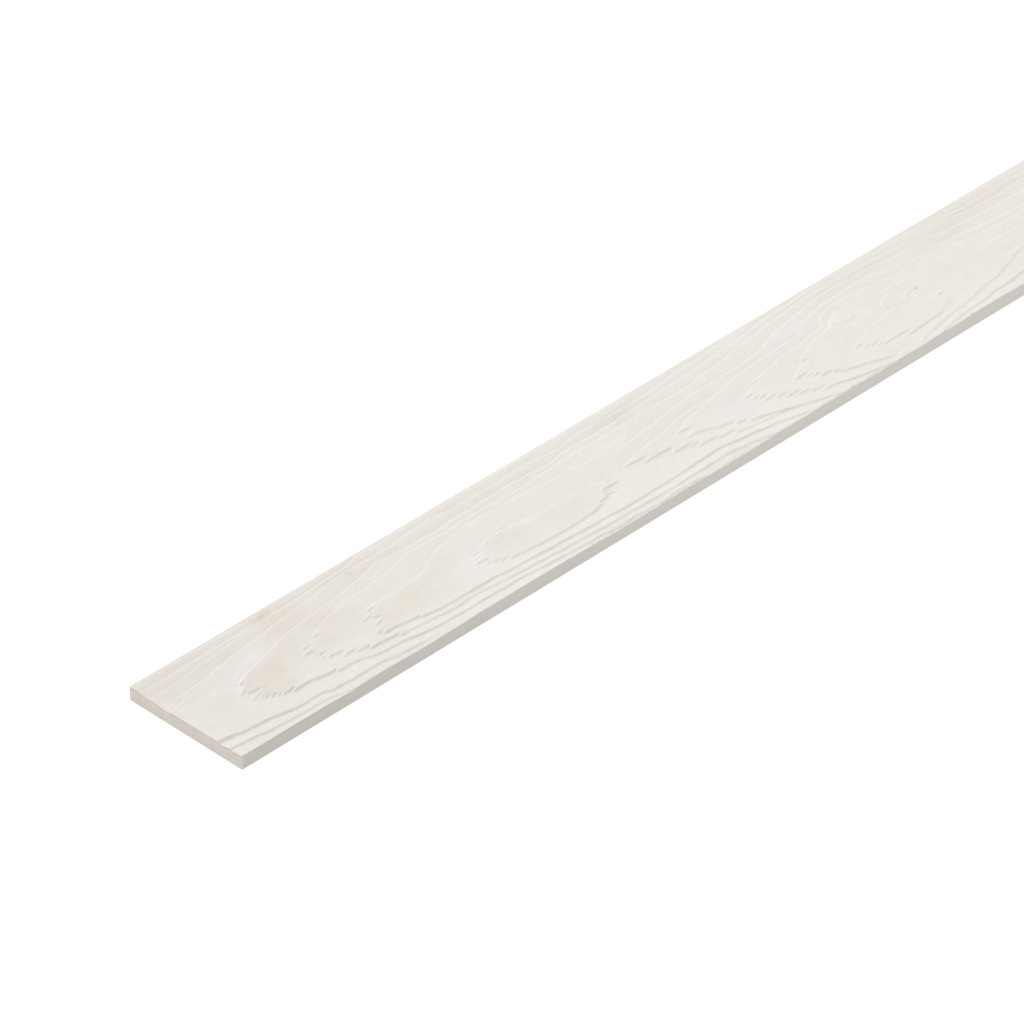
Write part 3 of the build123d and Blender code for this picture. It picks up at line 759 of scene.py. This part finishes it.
# ----------------------------------------------------------------------- the mesh
# The full grid is thinned where the face is smooth.  For that it is squeezed
# along the strip, because the relief runs that way, and weighted by height.
TOP_FACES = 168_000
SQUEEZE, RAISE = 0.45, 3.0
weight = RAISE * (1.0 + 0.9 * np.clip((S_FINE + 40 - xs) / 80.0, 0, 1))
grid = np.empty((NX, NY, 3), np.float32)
grid[..., 0] = (xs * SQUEEZE)[:, None]
grid[..., 1] = ys[None, :]
grid[..., 2] = h * weight[:, None]
ii, jj = np.meshgrid(np.arange(NX - 1), np.arange(NY - 1), indexing="ij")
q0 = (ii * NY + jj).ravel()
flip = ((ii + jj) % 2).ravel().astype(bool)
v00, v10, v11, v01 = q0, q0 + NY, q0 + NY + 1, q0 + 1
t1 = np.where(flip[:, None], np.c_[v00, v10, v01], np.c_[v00, v10, v11])
t2 = np.where(flip[:, None], np.c_[v10, v11, v01], np.c_[v00, v11, v01])
tris = np.vstack([t1, t2]).astype(np.int32)


def mesh_from(name, verts, faces):
    me = bpy.data.meshes.new(name)
    me.vertices.add(len(verts))
    me.vertices.foreach_set("co", np.ascontiguousarray(verts, np.float32).ravel())
    me.loops.add(faces.size)
    me.loops.foreach_set("vertex_index", np.ascontiguousarray(faces, np.int32).ravel())
    me.polygons.add(len(faces))
    me.polygons.foreach_set("loop_start", np.arange(0, faces.size, faces.shape[1], dtype=np.int32))
    me.update(calc_edges=True)
    return me


fine = bpy.data.objects.new("fine_face", mesh_from("fine_face", grid.reshape(-1, 3), tris))
bpy.context.scene.collection.objects.link(fine)
mod = fine.modifiers.new("thin", "DECIMATE")
mod.ratio = TOP_FACES / len(tris)
dg = bpy.context.evaluated_depsgraph_get()
thin = bpy.data.meshes.new_from_object(fine.evaluated_get(dg))
nv, nf = len(thin.vertices), len(thin.polygons)
V = np.empty(nv * 3, np.float32)
thin.vertices.foreach_get("co", V)
V = V.reshape(-1, 3).astype(float)
F = np.empty(nf * 3, np.int32)
thin.loops.foreach_get("vertex_index", F)
F = F.reshape(-1, 3)
bpy.data.objects.remove(fine)
bpy.data.meshes.remove(thin)
V[:, 0] /= SQUEEZE
V[:, 2] /= np.interp(V[:, 0], xs, weight)

# Its rim, put back exactly on the four straight sides.
edges = np.vstack([F[:, [0, 1]], F[:, [1, 2]], F[:, [2, 0]]]).astype(np.int64)
key = np.minimum(edges[:, 0], edges[:, 1]) * nv + np.maximum(edges[:, 0], edges[:, 1])
_, inv, cnt = np.unique(key, return_inverse=True, return_counts=True)
rim = edges[cnt[inv] == 1]
after = {int(a): int(b) for a, b in rim}
start = int(rim[0, 0])
loop = [start]
while after[loop[-1]] != start:
    loop.append(after[loop[-1]])
loop = np.array(loop)
assert len(loop) == len(rim)
corner_pos = np.array([[xs[0], ys[0]], [xs[-1], ys[0]], [xs[-1], ys[-1]], [xs[0], ys[-1]]])
corners = [int(np.argmin(((V[loop, :2] - c) ** 2).sum(1))) for c in corner_pos]
for n, c in enumerate(corners):
    V[loop[c], :2] = corner_pos[n]
    m = corners[(n + 1) % 4]
    idx = [(c + o) % len(loop) for o in range(1, (m - c) % len(loop))]
    on = loop[idx]
    if n % 2 == 0:
        V[on, 1] = corner_pos[n][1]
    else:
        V[on, 0] = corner_pos[n][0]
V[loop, 2] = sample(h, V[loop, 0], V[loop, 1])
V[:, 2] = np.minimum(V[:, 2], THICK - 0.005)

# Arris, sides, lower arris and back.
R = len(loop)
outer = V[loop].copy()
on_s0, on_s1 = outer[:, 0] < xs[0] + 1e-6, outer[:, 0] > xs[-1] - 1e-6
on_y0, on_y1 = outer[:, 1] < ys[0] + 1e-6, outer[:, 1] > ys[-1] - 1e-6
outer[on_s0, 0], outer[on_s1, 0] = 0.0, LENGTH
outer[on_y0, 1], outer[on_y1, 1] = 0.0, WIDTH
drop = np.abs(np.random.default_rng(91).normal(1.0, 0.28, R))
drop *= np.where(on_y1, 0.07, np.where(on_s0 & ~on_y0, 0.09, 0.2))
outer[:, 2] -= drop
low = outer.copy()
low[:, 2] = 0.1
base = low.copy()
base[:, 2] = 0.0
base[on_s0, 0], base[on_s1, 0] = 0.08, LENGTH - 0.08
base[on_y0, 1], base[on_y1, 1] = 0.1, WIDTH - 0.1
o_id, l_id, b_id = nv + np.arange(R), nv + R + np.arange(R), nv + 2 * R + np.arange(R)
nxt = np.r_[1:R, 0]


def band(upper, lower):
    a, b = np.arange(R), nxt
    return np.vstack([np.c_[upper[b], upper[a], lower[a]], np.c_[upper[b], lower[a], lower[b]]])


arris = band(loop, o_id)
wall_f = band(o_id, l_id)
arris2 = band(l_id, b_id)
inner = [(float(a), float(b)) for a in np.arange(40, LENGTH, 40.0) for b in (20.0, 37.5, 55.0)]
pts = [Vector((float(p[0]), float(p[1]))) for p in base[:, :2]] + [Vector(p) for p in inner]
vo, _, fo, orig_v, _, _ = delaunay_2d_cdt(pts, [(i, int(nxt[i])) for i in range(R)], [], 1, 1e-5)
ids = np.array([o[0] if o else -1 for o in orig_v])
assert (ids >= 0).all() and len(ids) == len(pts)
back = np.array([[ids[v] for v in f] for f in fo], int)
pa = np.array([[p.x, p.y] for p in pts])
area = np.cross(pa[back[:, 1]] - pa[back[:, 0]], pa[back[:, 2]] - pa[back[:, 0]])
back = np.where((area > 0)[:, None], back[:, ::-1], back)      # seen from below
back = back[np.abs(area) > 1e-7] + nv + 2 * R
inner_v = np.array([[a, b, 0.0] for a, b in inner])
verts = np.vstack([V, outer, low, base, inner_v])
faces = np.vstack([F, arris, wall_f, arris2, back]).astype(np.int32)
kinds = np.r_[np.zeros(len(F)), np.full(len(arris), 1), np.full(len(wall_f), 2), np.full(len(arris2), 2),
              np.full(len(back), 3)].astype(int)

# Normals, corner by corner: the face's from the slope of the relief just inside
# each triangle, so that the lips stay crisp, and the sawn sides' flat.
P = verts[faces]
mid = P.mean(1, keepdims=True)
flat = np.cross(P[:, 1] - P[:, 0], P[:, 2] - P[:, 0])
flat /= np.maximum(np.linalg.norm(flat, axis=1, keepdims=True), 1e-12)
normals = np.repeat(flat[:, None, :], 3, 1)
near_v = P + 0.3 * (mid - P)
is_top = kinds == 0
n_s = sample(gs, near_v[is_top, :, 0].ravel(), near_v[is_top, :, 1].ravel())
n_y = sample(gy, near_v[is_top, :, 0].ravel(), near_v[is_top, :, 1].ravel())
n_top = np.c_[-n_s, -n_y, np.ones(len(n_s))]
n_top /= np.linalg.norm(n_top, axis=1, keepdims=True)
normals[is_top] = n_top.reshape(-1, 3, 3)

mm = 0.001
world = np.c_[(verts[:, 0] - LENGTH / 2) * mm, (verts[:, 1] - WIDTH / 2) * mm, verts[:, 2] * mm]
me = mesh_from("trim_strip_body", world, faces)
strip = bpy.data.objects.new("trim_strip_body", me)
bpy.context.scene.collection.objects.link(strip)
me.polygons.foreach_set("use_smooth", np.ones(len(faces), bool))
me.normals_split_custom_set(normals.reshape(-1, 3).tolist())

for name, field in (("warm", warm), ("shade_and_grime", shade_and_grime), ("highlight_tint", highlight_tint)):
    at = me.attributes.new(name, "FLOAT", "POINT")
    v = np.zeros(len(verts), np.float32)
    v[:nv] = sample(field, V[:, 0], V[:, 1])
    v[o_id] = v[loop]
    at.data.foreach_set("value", v)
at = me.attributes.new("rim", "FLOAT", "POINT")      # 1 at the upper edge of the sawn sides, 0 at their foot
v = np.zeros(len(verts), np.float32)
v[:nv] = 1.0
v[o_id] = 1.0
at.data.foreach_set("value", v)

# Texture map: the strip in six lengths, one above the other, each with its two
# long sides, and the back and the ends beside them.
ROWS, PX = 6, 1024.0
row_len = LENGTH / ROWS
uv = np.zeros((len(faces), 3, 2))
cen = P.mean(1)
is_wall = kinds == 2
region = np.full(len(faces), 0)                       # 0 face, 1 near side, 2 far side, 3 start end, 4 far end, 5 back
region[is_wall & (cen[:, 1] < 1.0)] = 1
region[is_wall & (cen[:, 1] > WIDTH - 1.0)] = 2
region[is_wall & (cen[:, 0] < 0.2) & (cen[:, 1] > 0.16) & (cen[:, 1] < WIDTH - 0.16)] = 3
region[is_wall & (cen[:, 0] > LENGTH - 0.2) & (cen[:, 1] > 0.16) & (cen[:, 1] < WIDTH - 0.16)] = 4
region[kinds == 3] = 5
row = np.clip((cen[:, 0] // row_len).astype(int), 0, ROWS - 1)
lo_s = np.array([P[(row == r) & (region <= 2), :, 0].min() for r in range(ROWS)])
hi_s = np.array([P[(row == r) & (region <= 2), :, 0].max() for r in range(ROWS)])
WIDE, TALL = 900.0, PX / ROWS
scale_s = (WIDE - 8) / (hi_s - lo_s).max()
scale_y = (TALL - 14) / (WIDTH + 2 * (THICK + 0.5))
down_z = np.where(P[..., 2] < 0.01, -0.42, P[..., 2])  # the lower arris unfolds below the side
u_row = 4 + (P[..., 0] - lo_s[row][:, None]) * scale_s
v_row = row[:, None] * TALL + 3
s_band = (THICK + 0.5) * scale_y
for reg, v_of in ((0, v_row + s_band + 4 + P[..., 1] * scale_y),
                  (1, v_row + (down_z + 0.45) * scale_y),
                  (2, v_row + s_band + WIDTH * scale_y + 8 + (down_z + 0.45) * scale_y)):
    m = region == reg
    uv[m] = np.stack([u_row, v_of], -1)[m]
for reg, v0 in ((3, 4.0), (4, 22.0)):
    m = region == reg
    uv[m] = np.stack([WIDE + 6 + P[..., 1] * 1.45, v0 + (down_z + 0.45) * 1.45], -1)[m]
m = region == 5
uv[m] = np.stack([WIDE + 14 + P[..., 1] * 1.2, 46 + P[..., 0] * (PX - 52) / LENGTH], -1)[m]
layer = me.uv_layers.new(name="OFBake")
layer.data.foreach_set("uv", (uv / PX).astype(np.float32).ravel())

# ------------------------------------------------------------------------ materials


class Nodes:
    """A material's nodes, made one at a time and wired by their sockets."""

    def __init__(self, name):
        self.mat = bpy.data.materials.new(name)
        self.mat.use_nodes = True
        self.nt = self.mat.node_tree
        self.nt.nodes.clear()
        out = self.nt.nodes.new("ShaderNodeOutputMaterial")
        self.bsdf = self.nt.nodes.new("ShaderNodeBsdfPrincipled")
        self.nt.links.new(self.bsdf.outputs[0], out.inputs["Surface"])
        self.bsdf.inputs["Specular IOR Level"].default_value = 0.22
        self.object = self.nt.nodes.new("ShaderNodeTexCoord").outputs["Object"]

    def put(self, socket, value):
        if isinstance(value, bpy.types.NodeSocket):
            self.nt.links.new(value, socket)
        else:
            socket.default_value = value

    def math(self, op, a, b=0.0, clamp=False):
        n = self.nt.nodes.new("ShaderNodeMath")
        n.operation, n.use_clamp = op, clamp
        self.put(n.inputs[0], a)
        self.put(n.inputs[1], b)
        return n.outputs[0]

    def vector(self, op, a, b):
        n = self.nt.nodes.new("ShaderNodeVectorMath")
        n.operation = op
        self.put(n.inputs[0], a)
        self.put(n.inputs[1], b)
        return n.outputs["Value" if op in ("DISTANCE", "LENGTH", "DOT_PRODUCT") else "Vector"]

    def place(self, scale, turn=(0, 0, 0), shift=(0, 0, 0)):
        n = self.nt.nodes.new("ShaderNodeMapping")
        n.inputs["Scale"].default_value = scale
        n.inputs["Rotation"].default_value = [math.radians(v) for v in turn]
        n.inputs["Location"].default_value = shift
        self.put(n.inputs["Vector"], self.object)
        return n.outputs[0]

    def noise(self, where, detail=2.0, rough=0.5):
        """Noise from about -0.5 to 0.5."""
        n = self.nt.nodes.new("ShaderNodeTexNoise")
        n.inputs["Scale"].default_value = 1.0
        n.inputs["Detail"].default_value = detail
        n.inputs["Roughness"].default_value = rough
        self.put(n.inputs["Vector"], where)
        return self.math("SUBTRACT", n.outputs[0], 0.5)

    def attribute(self, name):
        n = self.nt.nodes.new("ShaderNodeAttribute")
        n.attribute_name = name
        return n.outputs["Fac"]

    def span(self, value, a, b, c=0.0, d=1.0, smooth=False):
        n = self.nt.nodes.new("ShaderNodeMapRange")
        n.interpolation_type = "SMOOTHSTEP" if smooth else "LINEAR"
        self.put(n.inputs["Value"], value)
        for k, v in zip((1, 2, 3, 4), (a, b, c, d)):
            n.inputs[k].default_value = v
        return n.outputs[0]

    def ramp(self, fac, stops):
        n = self.nt.nodes.new("ShaderNodeValToRGB")
        e = n.color_ramp.elements
        while len(e) < len(stops):
            e.new(0.5)
        for el, (pos, col) in zip(e, stops):
            el.position, el.color = pos, (*col, 1)
        self.put(n.inputs[0], fac)
        return n.outputs[0]

    def mix(self, fac, a, b, blend="MIX"):
        n = self.nt.nodes.new("ShaderNodeMix")
        n.data_type, n.blend_type = "RGBA", blend
        self.put(n.inputs[0], fac)
        for k, v in ((6, a), (7, b)):
            self.put(n.inputs[k], v if isinstance(v, bpy.types.NodeSocket) else (*v, 1))
        return n.outputs[2]

    def scaled(self, colour, value):
        """A colour made lighter or darker by a value."""
        n = self.nt.nodes.new("ShaderNodeVectorMath")
        n.operation = "SCALE"
        self.put(n.inputs[0], colour)
        self.put(n.inputs["Scale"], value)
        return n.outputs[0]

    def bump(self, height, depth, strength):
        n = self.nt.nodes.new("ShaderNodeBump")
        n.inputs["Strength"].default_value = strength
        n.inputs["Distance"].default_value = depth
        self.put(n.inputs["Height"], height)
        self.nt.links.new(n.outputs[0], self.bsdf.inputs["Normal"])


# The embossed face: a thin off-white finish, clouded, with painted shade and some grime along the steps.
f = Nodes("cement_face")
sep = f.nt.nodes.new("ShaderNodeSeparateXYZ")
f.put(sep.inputs[0], f.object)
broad = f.noise(f.place((22, 46, 46)), 3.0, 0.55)
patch = f.noise(f.place((120, 190, 190), shift=(3.1, 0.4, 0)), 3.0, 0.6)
fleck = f.noise(f.place((430, 540, 540), shift=(1.7, 2.9, 0)), 3.0, 0.6)
sand = f.noise(f.place((1100, 1300, 1300), shift=(0.7, 5.2, 0)), 2.0, 0.6)
w = f.math("ADD", f.attribute("warm"), f.math("MULTIPLY", broad, 0.6))
w = f.math("ADD", w, f.math("MULTIPLY", patch, 1.25))
w = f.math("ADD", w, f.math("MULTIPLY", fleck, 1.15))
colour = f.ramp(f.span(w, -0.8, 1.6), [(0.0, (0.874, 0.866, 0.836)), (0.3333, (0.842, 0.812, 0.764)),
                                       (0.5417, (0.829, 0.789, 0.7245)), (0.75, (0.808, 0.747, 0.668)),
                                       (1.0, (0.766, 0.699, 0.6125))])
hue = f.noise(f.place((260, 330, 330), shift=(5.3, 8.1, 0)), 4.0, 0.75)
hue = f.mix(f.span(hue, -0.3, 0.3), (0.997, 1.001, 1.017), (1.003, 0.999, 0.983))
colour = f.mix(1.0, colour, hue, "MULTIPLY")
# painted shade with some grime: brownish on the steps that face away from the light and in the low ground
colour = f.mix(f.attribute("shade_and_grime"), colour, (0.964, 0.922, 0.878), "MULTIPLY")
# painted highlight: the steps that face the far edge and the light are made whiter
colour = f.mix(f.attribute("highlight_tint"), colour, (0.973, 0.995, 1.0), "MULTIPLY")
# painted shade: the face is made a little darker over the last 250 mm towards both ends
shade_to_ends = f.span(f.math("ABSOLUTE", sep.outputs[0]), 1.25, 1.5, 0.0, 1.0, True)
colour = f.mix(shade_to_ends, colour, (0.966, 0.960, 0.962), "MULTIPLY")
flat_xy = f.vector("MULTIPLY", f.object, (1, 1, 0))
SPECKS = [(99, 64, 0.55, 0.35), (105, 46.5, 0.55, 0.35), (123, 22.5, 0.55, 0.35), (132.6, 65.7, 3.2, 0.11),
          (136, 29.5, 0.5, 0.3), (158, 22.5, 0.5, 0.32), (172, 42.5, 0.6, 0.36), (206, 37.2, 0.75, 0.42), (276, 37, 0.5, 0.3),
          (290.5, 38.2, 0.6, 0.34), (293, 16.2, 0.65, 0.28), (298, 22, 0.5, 0.25), (313.7, 63.7, 0.45, 0.3), (313.6, 64.4, 0.45, 0.3),
          (313.7, 65.1, 0.45, 0.3), (314.0, 65.8, 0.45, 0.3), (314.6, 66.4, 0.45, 0.3), (315.4, 66.7, 0.45, 0.28), (352.3, 38.6, 0.7, 0.36), (415, 27.4, 0.8, 0.28), (457.5, 27.8, 0.9, 0.22),
          (507, 24, 1.0, 0.28), (502.5, 36, 1.0, 0.28), (549.3, 25.4, 0.6, 0.42), (530, 38.5, 0.6, 0.2), (528, 25, 1.3, 0.1),
          (531, 23.4, 1.2, 0.1), (479, 68.5, 0.8, 0.16), (9, 52, 3.2, 0.05), (80.5, 71.2, 4.0, 0.06)]
specks = None
for s_c, y_c, r_c, power in SPECKS:
    dist = f.vector("DISTANCE", flat_xy, ((s_c - LENGTH / 2) / 1000, (y_c - WIDTH / 2) / 1000, 0))
    dot = f.span(dist, r_c / 1000, 0.25 * r_c / 1000, 0.0, power, True)
    specks = dot if specks is None else f.math("MAXIMUM", specks, dot)
vor = f.nt.nodes.new("ShaderNodeTexVoronoi")
vor.voronoi_dimensions = "2D"
vor.inputs["Scale"].default_value = 23.0
f.put(vor.inputs["Vector"], f.object)
dot = f.span(vor.outputs["Distance"], 0.016, 0.005, 0.0, 0.5, True)
dot = f.math("MULTIPLY", dot, f.span(sep.outputs[0], -0.9, -0.88))
specks = f.math("MAXIMUM", specks, dot)
colour = f.mix(specks, colour, (0.36, 0.27, 0.19))
at_edge = f.math("MAXIMUM", f.span(sep.outputs[1], -0.0360, -0.0372), f.span(sep.outputs[1], 0.0364, 0.0374, 0.0, 0.3))
chipped = f.span(f.noise(f.place((460, 700, 300), shift=(2.2, 6.1, 0)), 2.0, 0.6), 0.05, 0.15)
chipped = f.math("MULTIPLY", chipped, f.span(f.noise(f.place((36, 0, 0), shift=(7.7, 0.5, 0.5)), 2.0), -0.06, 0.1))
colour = f.mix(f.math("MULTIPLY", f.math("MULTIPLY", at_edge, chipped), 0.5), colour, (0.5, 0.39, 0.28))
# painted light: the face is a little darker towards the near edge and lighter towards the far edge, to even out its
# shading
across = f.span(sep.outputs[1], -0.0235, 0.0325, 0.993, 1.009)
colour = f.scaled(colour, f.math("ADD", f.math("MULTIPLY", sand, 0.1), across))
f.put(f.bsdf.inputs["Base Color"], colour)
f.put(f.bsdf.inputs["Roughness"], f.span(patch, -0.4, 0.4, 0.84, 0.95))
pits = f.noise(f.place((330, 420, 420), shift=(9.0, 2.0, 0)), 3.0, 0.65)
f.bump(f.math("ADD", f.math("MULTIPLY", sand, 0.45), pits), 0.00035, 0.43)

# Sawn edges and ends: bare cement, greyer, with faint slanting saw marks.
f = Nodes("cement_sawn")
sep = f.nt.nodes.new("ShaderNodeSeparateXYZ")
f.put(sep.inputs[0], f.object)
# painted shade: the sawn sides are made darker over the last 380 mm towards both ends
shade_to_ends = f.span(f.math("ABSOLUTE", sep.outputs[0]), 1.12, 1.5, 0.0, 1.0)
colour = f.mix(shade_to_ends, (0.674, 0.645, 0.594), (0.594, 0.558, 0.511))
at_end = f.span(f.math("ABSOLUTE", sep.outputs[0]), 1.4985, 1.4997)
colour = f.mix(at_end, colour, (0.677, 0.623, 0.563))
marks = f.noise(f.place((420, 420, 150), (35, -35, 0)), 3.0, 0.6)
cloud = f.noise(f.place((45, 60, 120), shift=(1.0, 4.0, 2.0)), 3.0, 0.55)
grit = f.noise(f.place((1500, 1500, 1500)), 2.0, 0.6)
stroke = f.nt.nodes.new("ShaderNodeCombineXYZ")             # along a stroke of the saw over the end, and across it
f.put(stroke.inputs[0], f.vector("DOT_PRODUCT", f.object, (0, -80, 37)))
f.put(stroke.inputs[1], f.vector("DOT_PRODUCT", f.object, (0, 380, 815)))
strokes = f.math("MULTIPLY", f.noise(stroke.outputs[0], 2.0, 0.6), at_end)
top_line = f.math("POWER", f.attribute("rim"), 9.0)
top_line = f.math("MULTIPLY", top_line, f.span(f.noise(f.place((160, 160, 160)), 2.0), -0.2, 0.25, 0.2, 1.0))
top_line = f.math("MULTIPLY", top_line, f.span(f.math("ABSOLUTE", sep.outputs[0]), 1.36, 1.47, 0.45, 1.3))
colour = f.mix(top_line, colour, (0.87, 0.815, 0.75), "MULTIPLY")
level = f.math("ADD", f.math("MULTIPLY", marks, 0.075), f.math("MULTIPLY", cloud, 0.06))
level = f.math("ADD", level, f.math("MULTIPLY", strokes, 0.33))
level = f.math("ADD", f.math("ADD", level, f.math("MULTIPLY", grit, 0.06)), 1.0)
foot = f.span(f.attribute("rim"), 0.75, 0.05)                # painted shade: a little darker towards the foot
colour = f.mix(foot, colour, (0.968, 0.968, 0.974), "MULTIPLY")
# painted shade: the sawn end a little darker again towards its foot
colour = f.mix(f.math("MULTIPLY", foot, at_end), colour, (0.975, 0.965, 0.955), "MULTIPLY")
f.put(f.bsdf.inputs["Base Color"], f.scaled(colour, level))
f.put(f.bsdf.inputs["Roughness"], f.span(grit, -0.4, 0.4, 0.88, 0.97))
f.bump(f.math("ADD", f.math("ADD", marks, strokes), f.math("MULTIPLY", grit, 0.5)), 0.0003, 0.4)
sawn_m = f.mat

# The back: plain and a little grey, with the soft print of the felt it was pressed on.
f = Nodes("cement_back")
cloud = f.noise(f.place((9, 22, 22), shift=(2.0, 7.0, 0)), 4.0, 0.6)
felt = f.noise(f.place((520, 240, 240), shift=(4.0, 1.0, 0)), 3.0, 0.65)
grit = f.noise(f.place((1500, 1500, 1500)), 2.0, 0.6)
colour = f.ramp(f.span(cloud, -0.35, 0.35), [(0.0, (0.70, 0.675, 0.632)), (0.5, (0.732, 0.705, 0.658)), (1.0, (0.756, 0.724, 0.668))])
level = f.math("ADD", f.math("ADD", f.math("MULTIPLY", felt, 0.08), f.math("MULTIPLY", grit, 0.05)), 1.0)
f.put(f.bsdf.inputs["Base Color"], f.scaled(colour, level))
f.put(f.bsdf.inputs["Roughness"], f.span(felt, -0.4, 0.4, 0.86, 0.96))
f.bump(f.math("ADD", felt, f.math("MULTIPLY", grit, 0.3)), 0.0004, 0.4)
back_m = f.mat
face_m = bpy.data.materials["cement_face"]

for m in (face_m, sawn_m, back_m):
    me.materials.append(m)
me.polygons.foreach_set("material_index", np.array([0, 0, 1, 2], np.int32)[kinds])
me.update()

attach(strip, "root")
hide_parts("trim_strip")

# --------------------------------------------------------------- floor, light, camera
# The floor is open under the strip, a little inside its foot, so that the back
# shows from below and no two faces lie in one plane.
out_x, out_y, in_x, in_y, low_z = 30.0, 30.0, LENGTH / 2000 - 0.001, WIDTH / 2000 - 0.001, -0.00004
ring = [(-1, -1), (1, -1), (1, 1), (-1, 1)]
floor_me = bpy.data.meshes.new("floor")
floor_me.from_pydata([(a * out_x, b * out_y, low_z) for a, b in ring] + [(a * in_x, b * in_y, low_z) for a, b in ring], [],
                     [(0, 1, 5, 4), (1, 2, 6, 5), (2, 3, 7, 6), (3, 0, 4, 7)])
floor = bpy.data.objects.new("floor", floor_me)
bpy.context.scene.collection.objects.link(floor)
floor_n = Nodes("pale_floor")
floor_n.bsdf.inputs["Base Color"].default_value = (0.06, 0.06, 0.06, 1)
floor_n.bsdf.inputs["Roughness"].default_value = 1.0
floor_n.bsdf.inputs["Emission Color"].default_value = (1, 1, 1, 1)
floor_n.bsdf.inputs["Emission Strength"].default_value = 0.97
floor.data.materials.append(floor_n.mat)

world_w = bpy.data.worlds.new("studio")
world_w.use_nodes = True
bg = world_w.node_tree.nodes["Background"]
bg.inputs["Color"].default_value = (1.0, 1.0, 1.0, 1)
bg.inputs["Strength"].default_value = 0.75
bpy.context.scene.world = world_w

to_light = Vector((-0.28, 1.0, 1.0)).normalized()
sun = bpy.data.lights.new("key", "SUN")
sun.energy = 0.25 * math.pi / to_light.z
sun.angle = math.radians(25)
key = bpy.data.objects.new("key", sun)
key.rotation_euler = to_light.to_track_quat("Z", "Y").to_euler()
bpy.context.scene.collection.objects.link(key)

F_PX, AZ, EL, DEPTH = 6595.9, math.radians(-45.571), math.radians(35.701), 3.006375
OX, OY = 242.235, 769.989
back_v = Vector((math.sin(AZ) * math.cos(EL), -math.cos(AZ) * math.cos(EL), math.sin(EL)))
right_v = Vector((math.cos(AZ), math.sin(AZ), 0))
up_v = back_v.cross(right_v)
corner = Vector((-1.5, -0.0375, 0))
eye = corner + back_v * DEPTH - right_v * ((OX - 512) / F_PX * DEPTH) + up_v * ((OY - 512) / F_PX * DEPTH)
cam = bpy.data.cameras.new("camera")
cam.sensor_fit = "HORIZONTAL"
cam.sensor_width = 36.0
cam.lens = 36.0 * F_PX / 1024
cam.clip_start, cam.clip_end = 0.05, 100
camera = bpy.data.objects.new("camera", cam)
camera.matrix_world = Matrix.Translation(eye) @ Matrix((right_v, up_v, back_v)).transposed().to_4x4()
bpy.context.scene.collection.objects.link(camera)
bpy.context.scene.camera = camera
bpy.context.scene.view_settings.view_transform = "Standard"
bpy.context.scene.view_settings.look = "None"
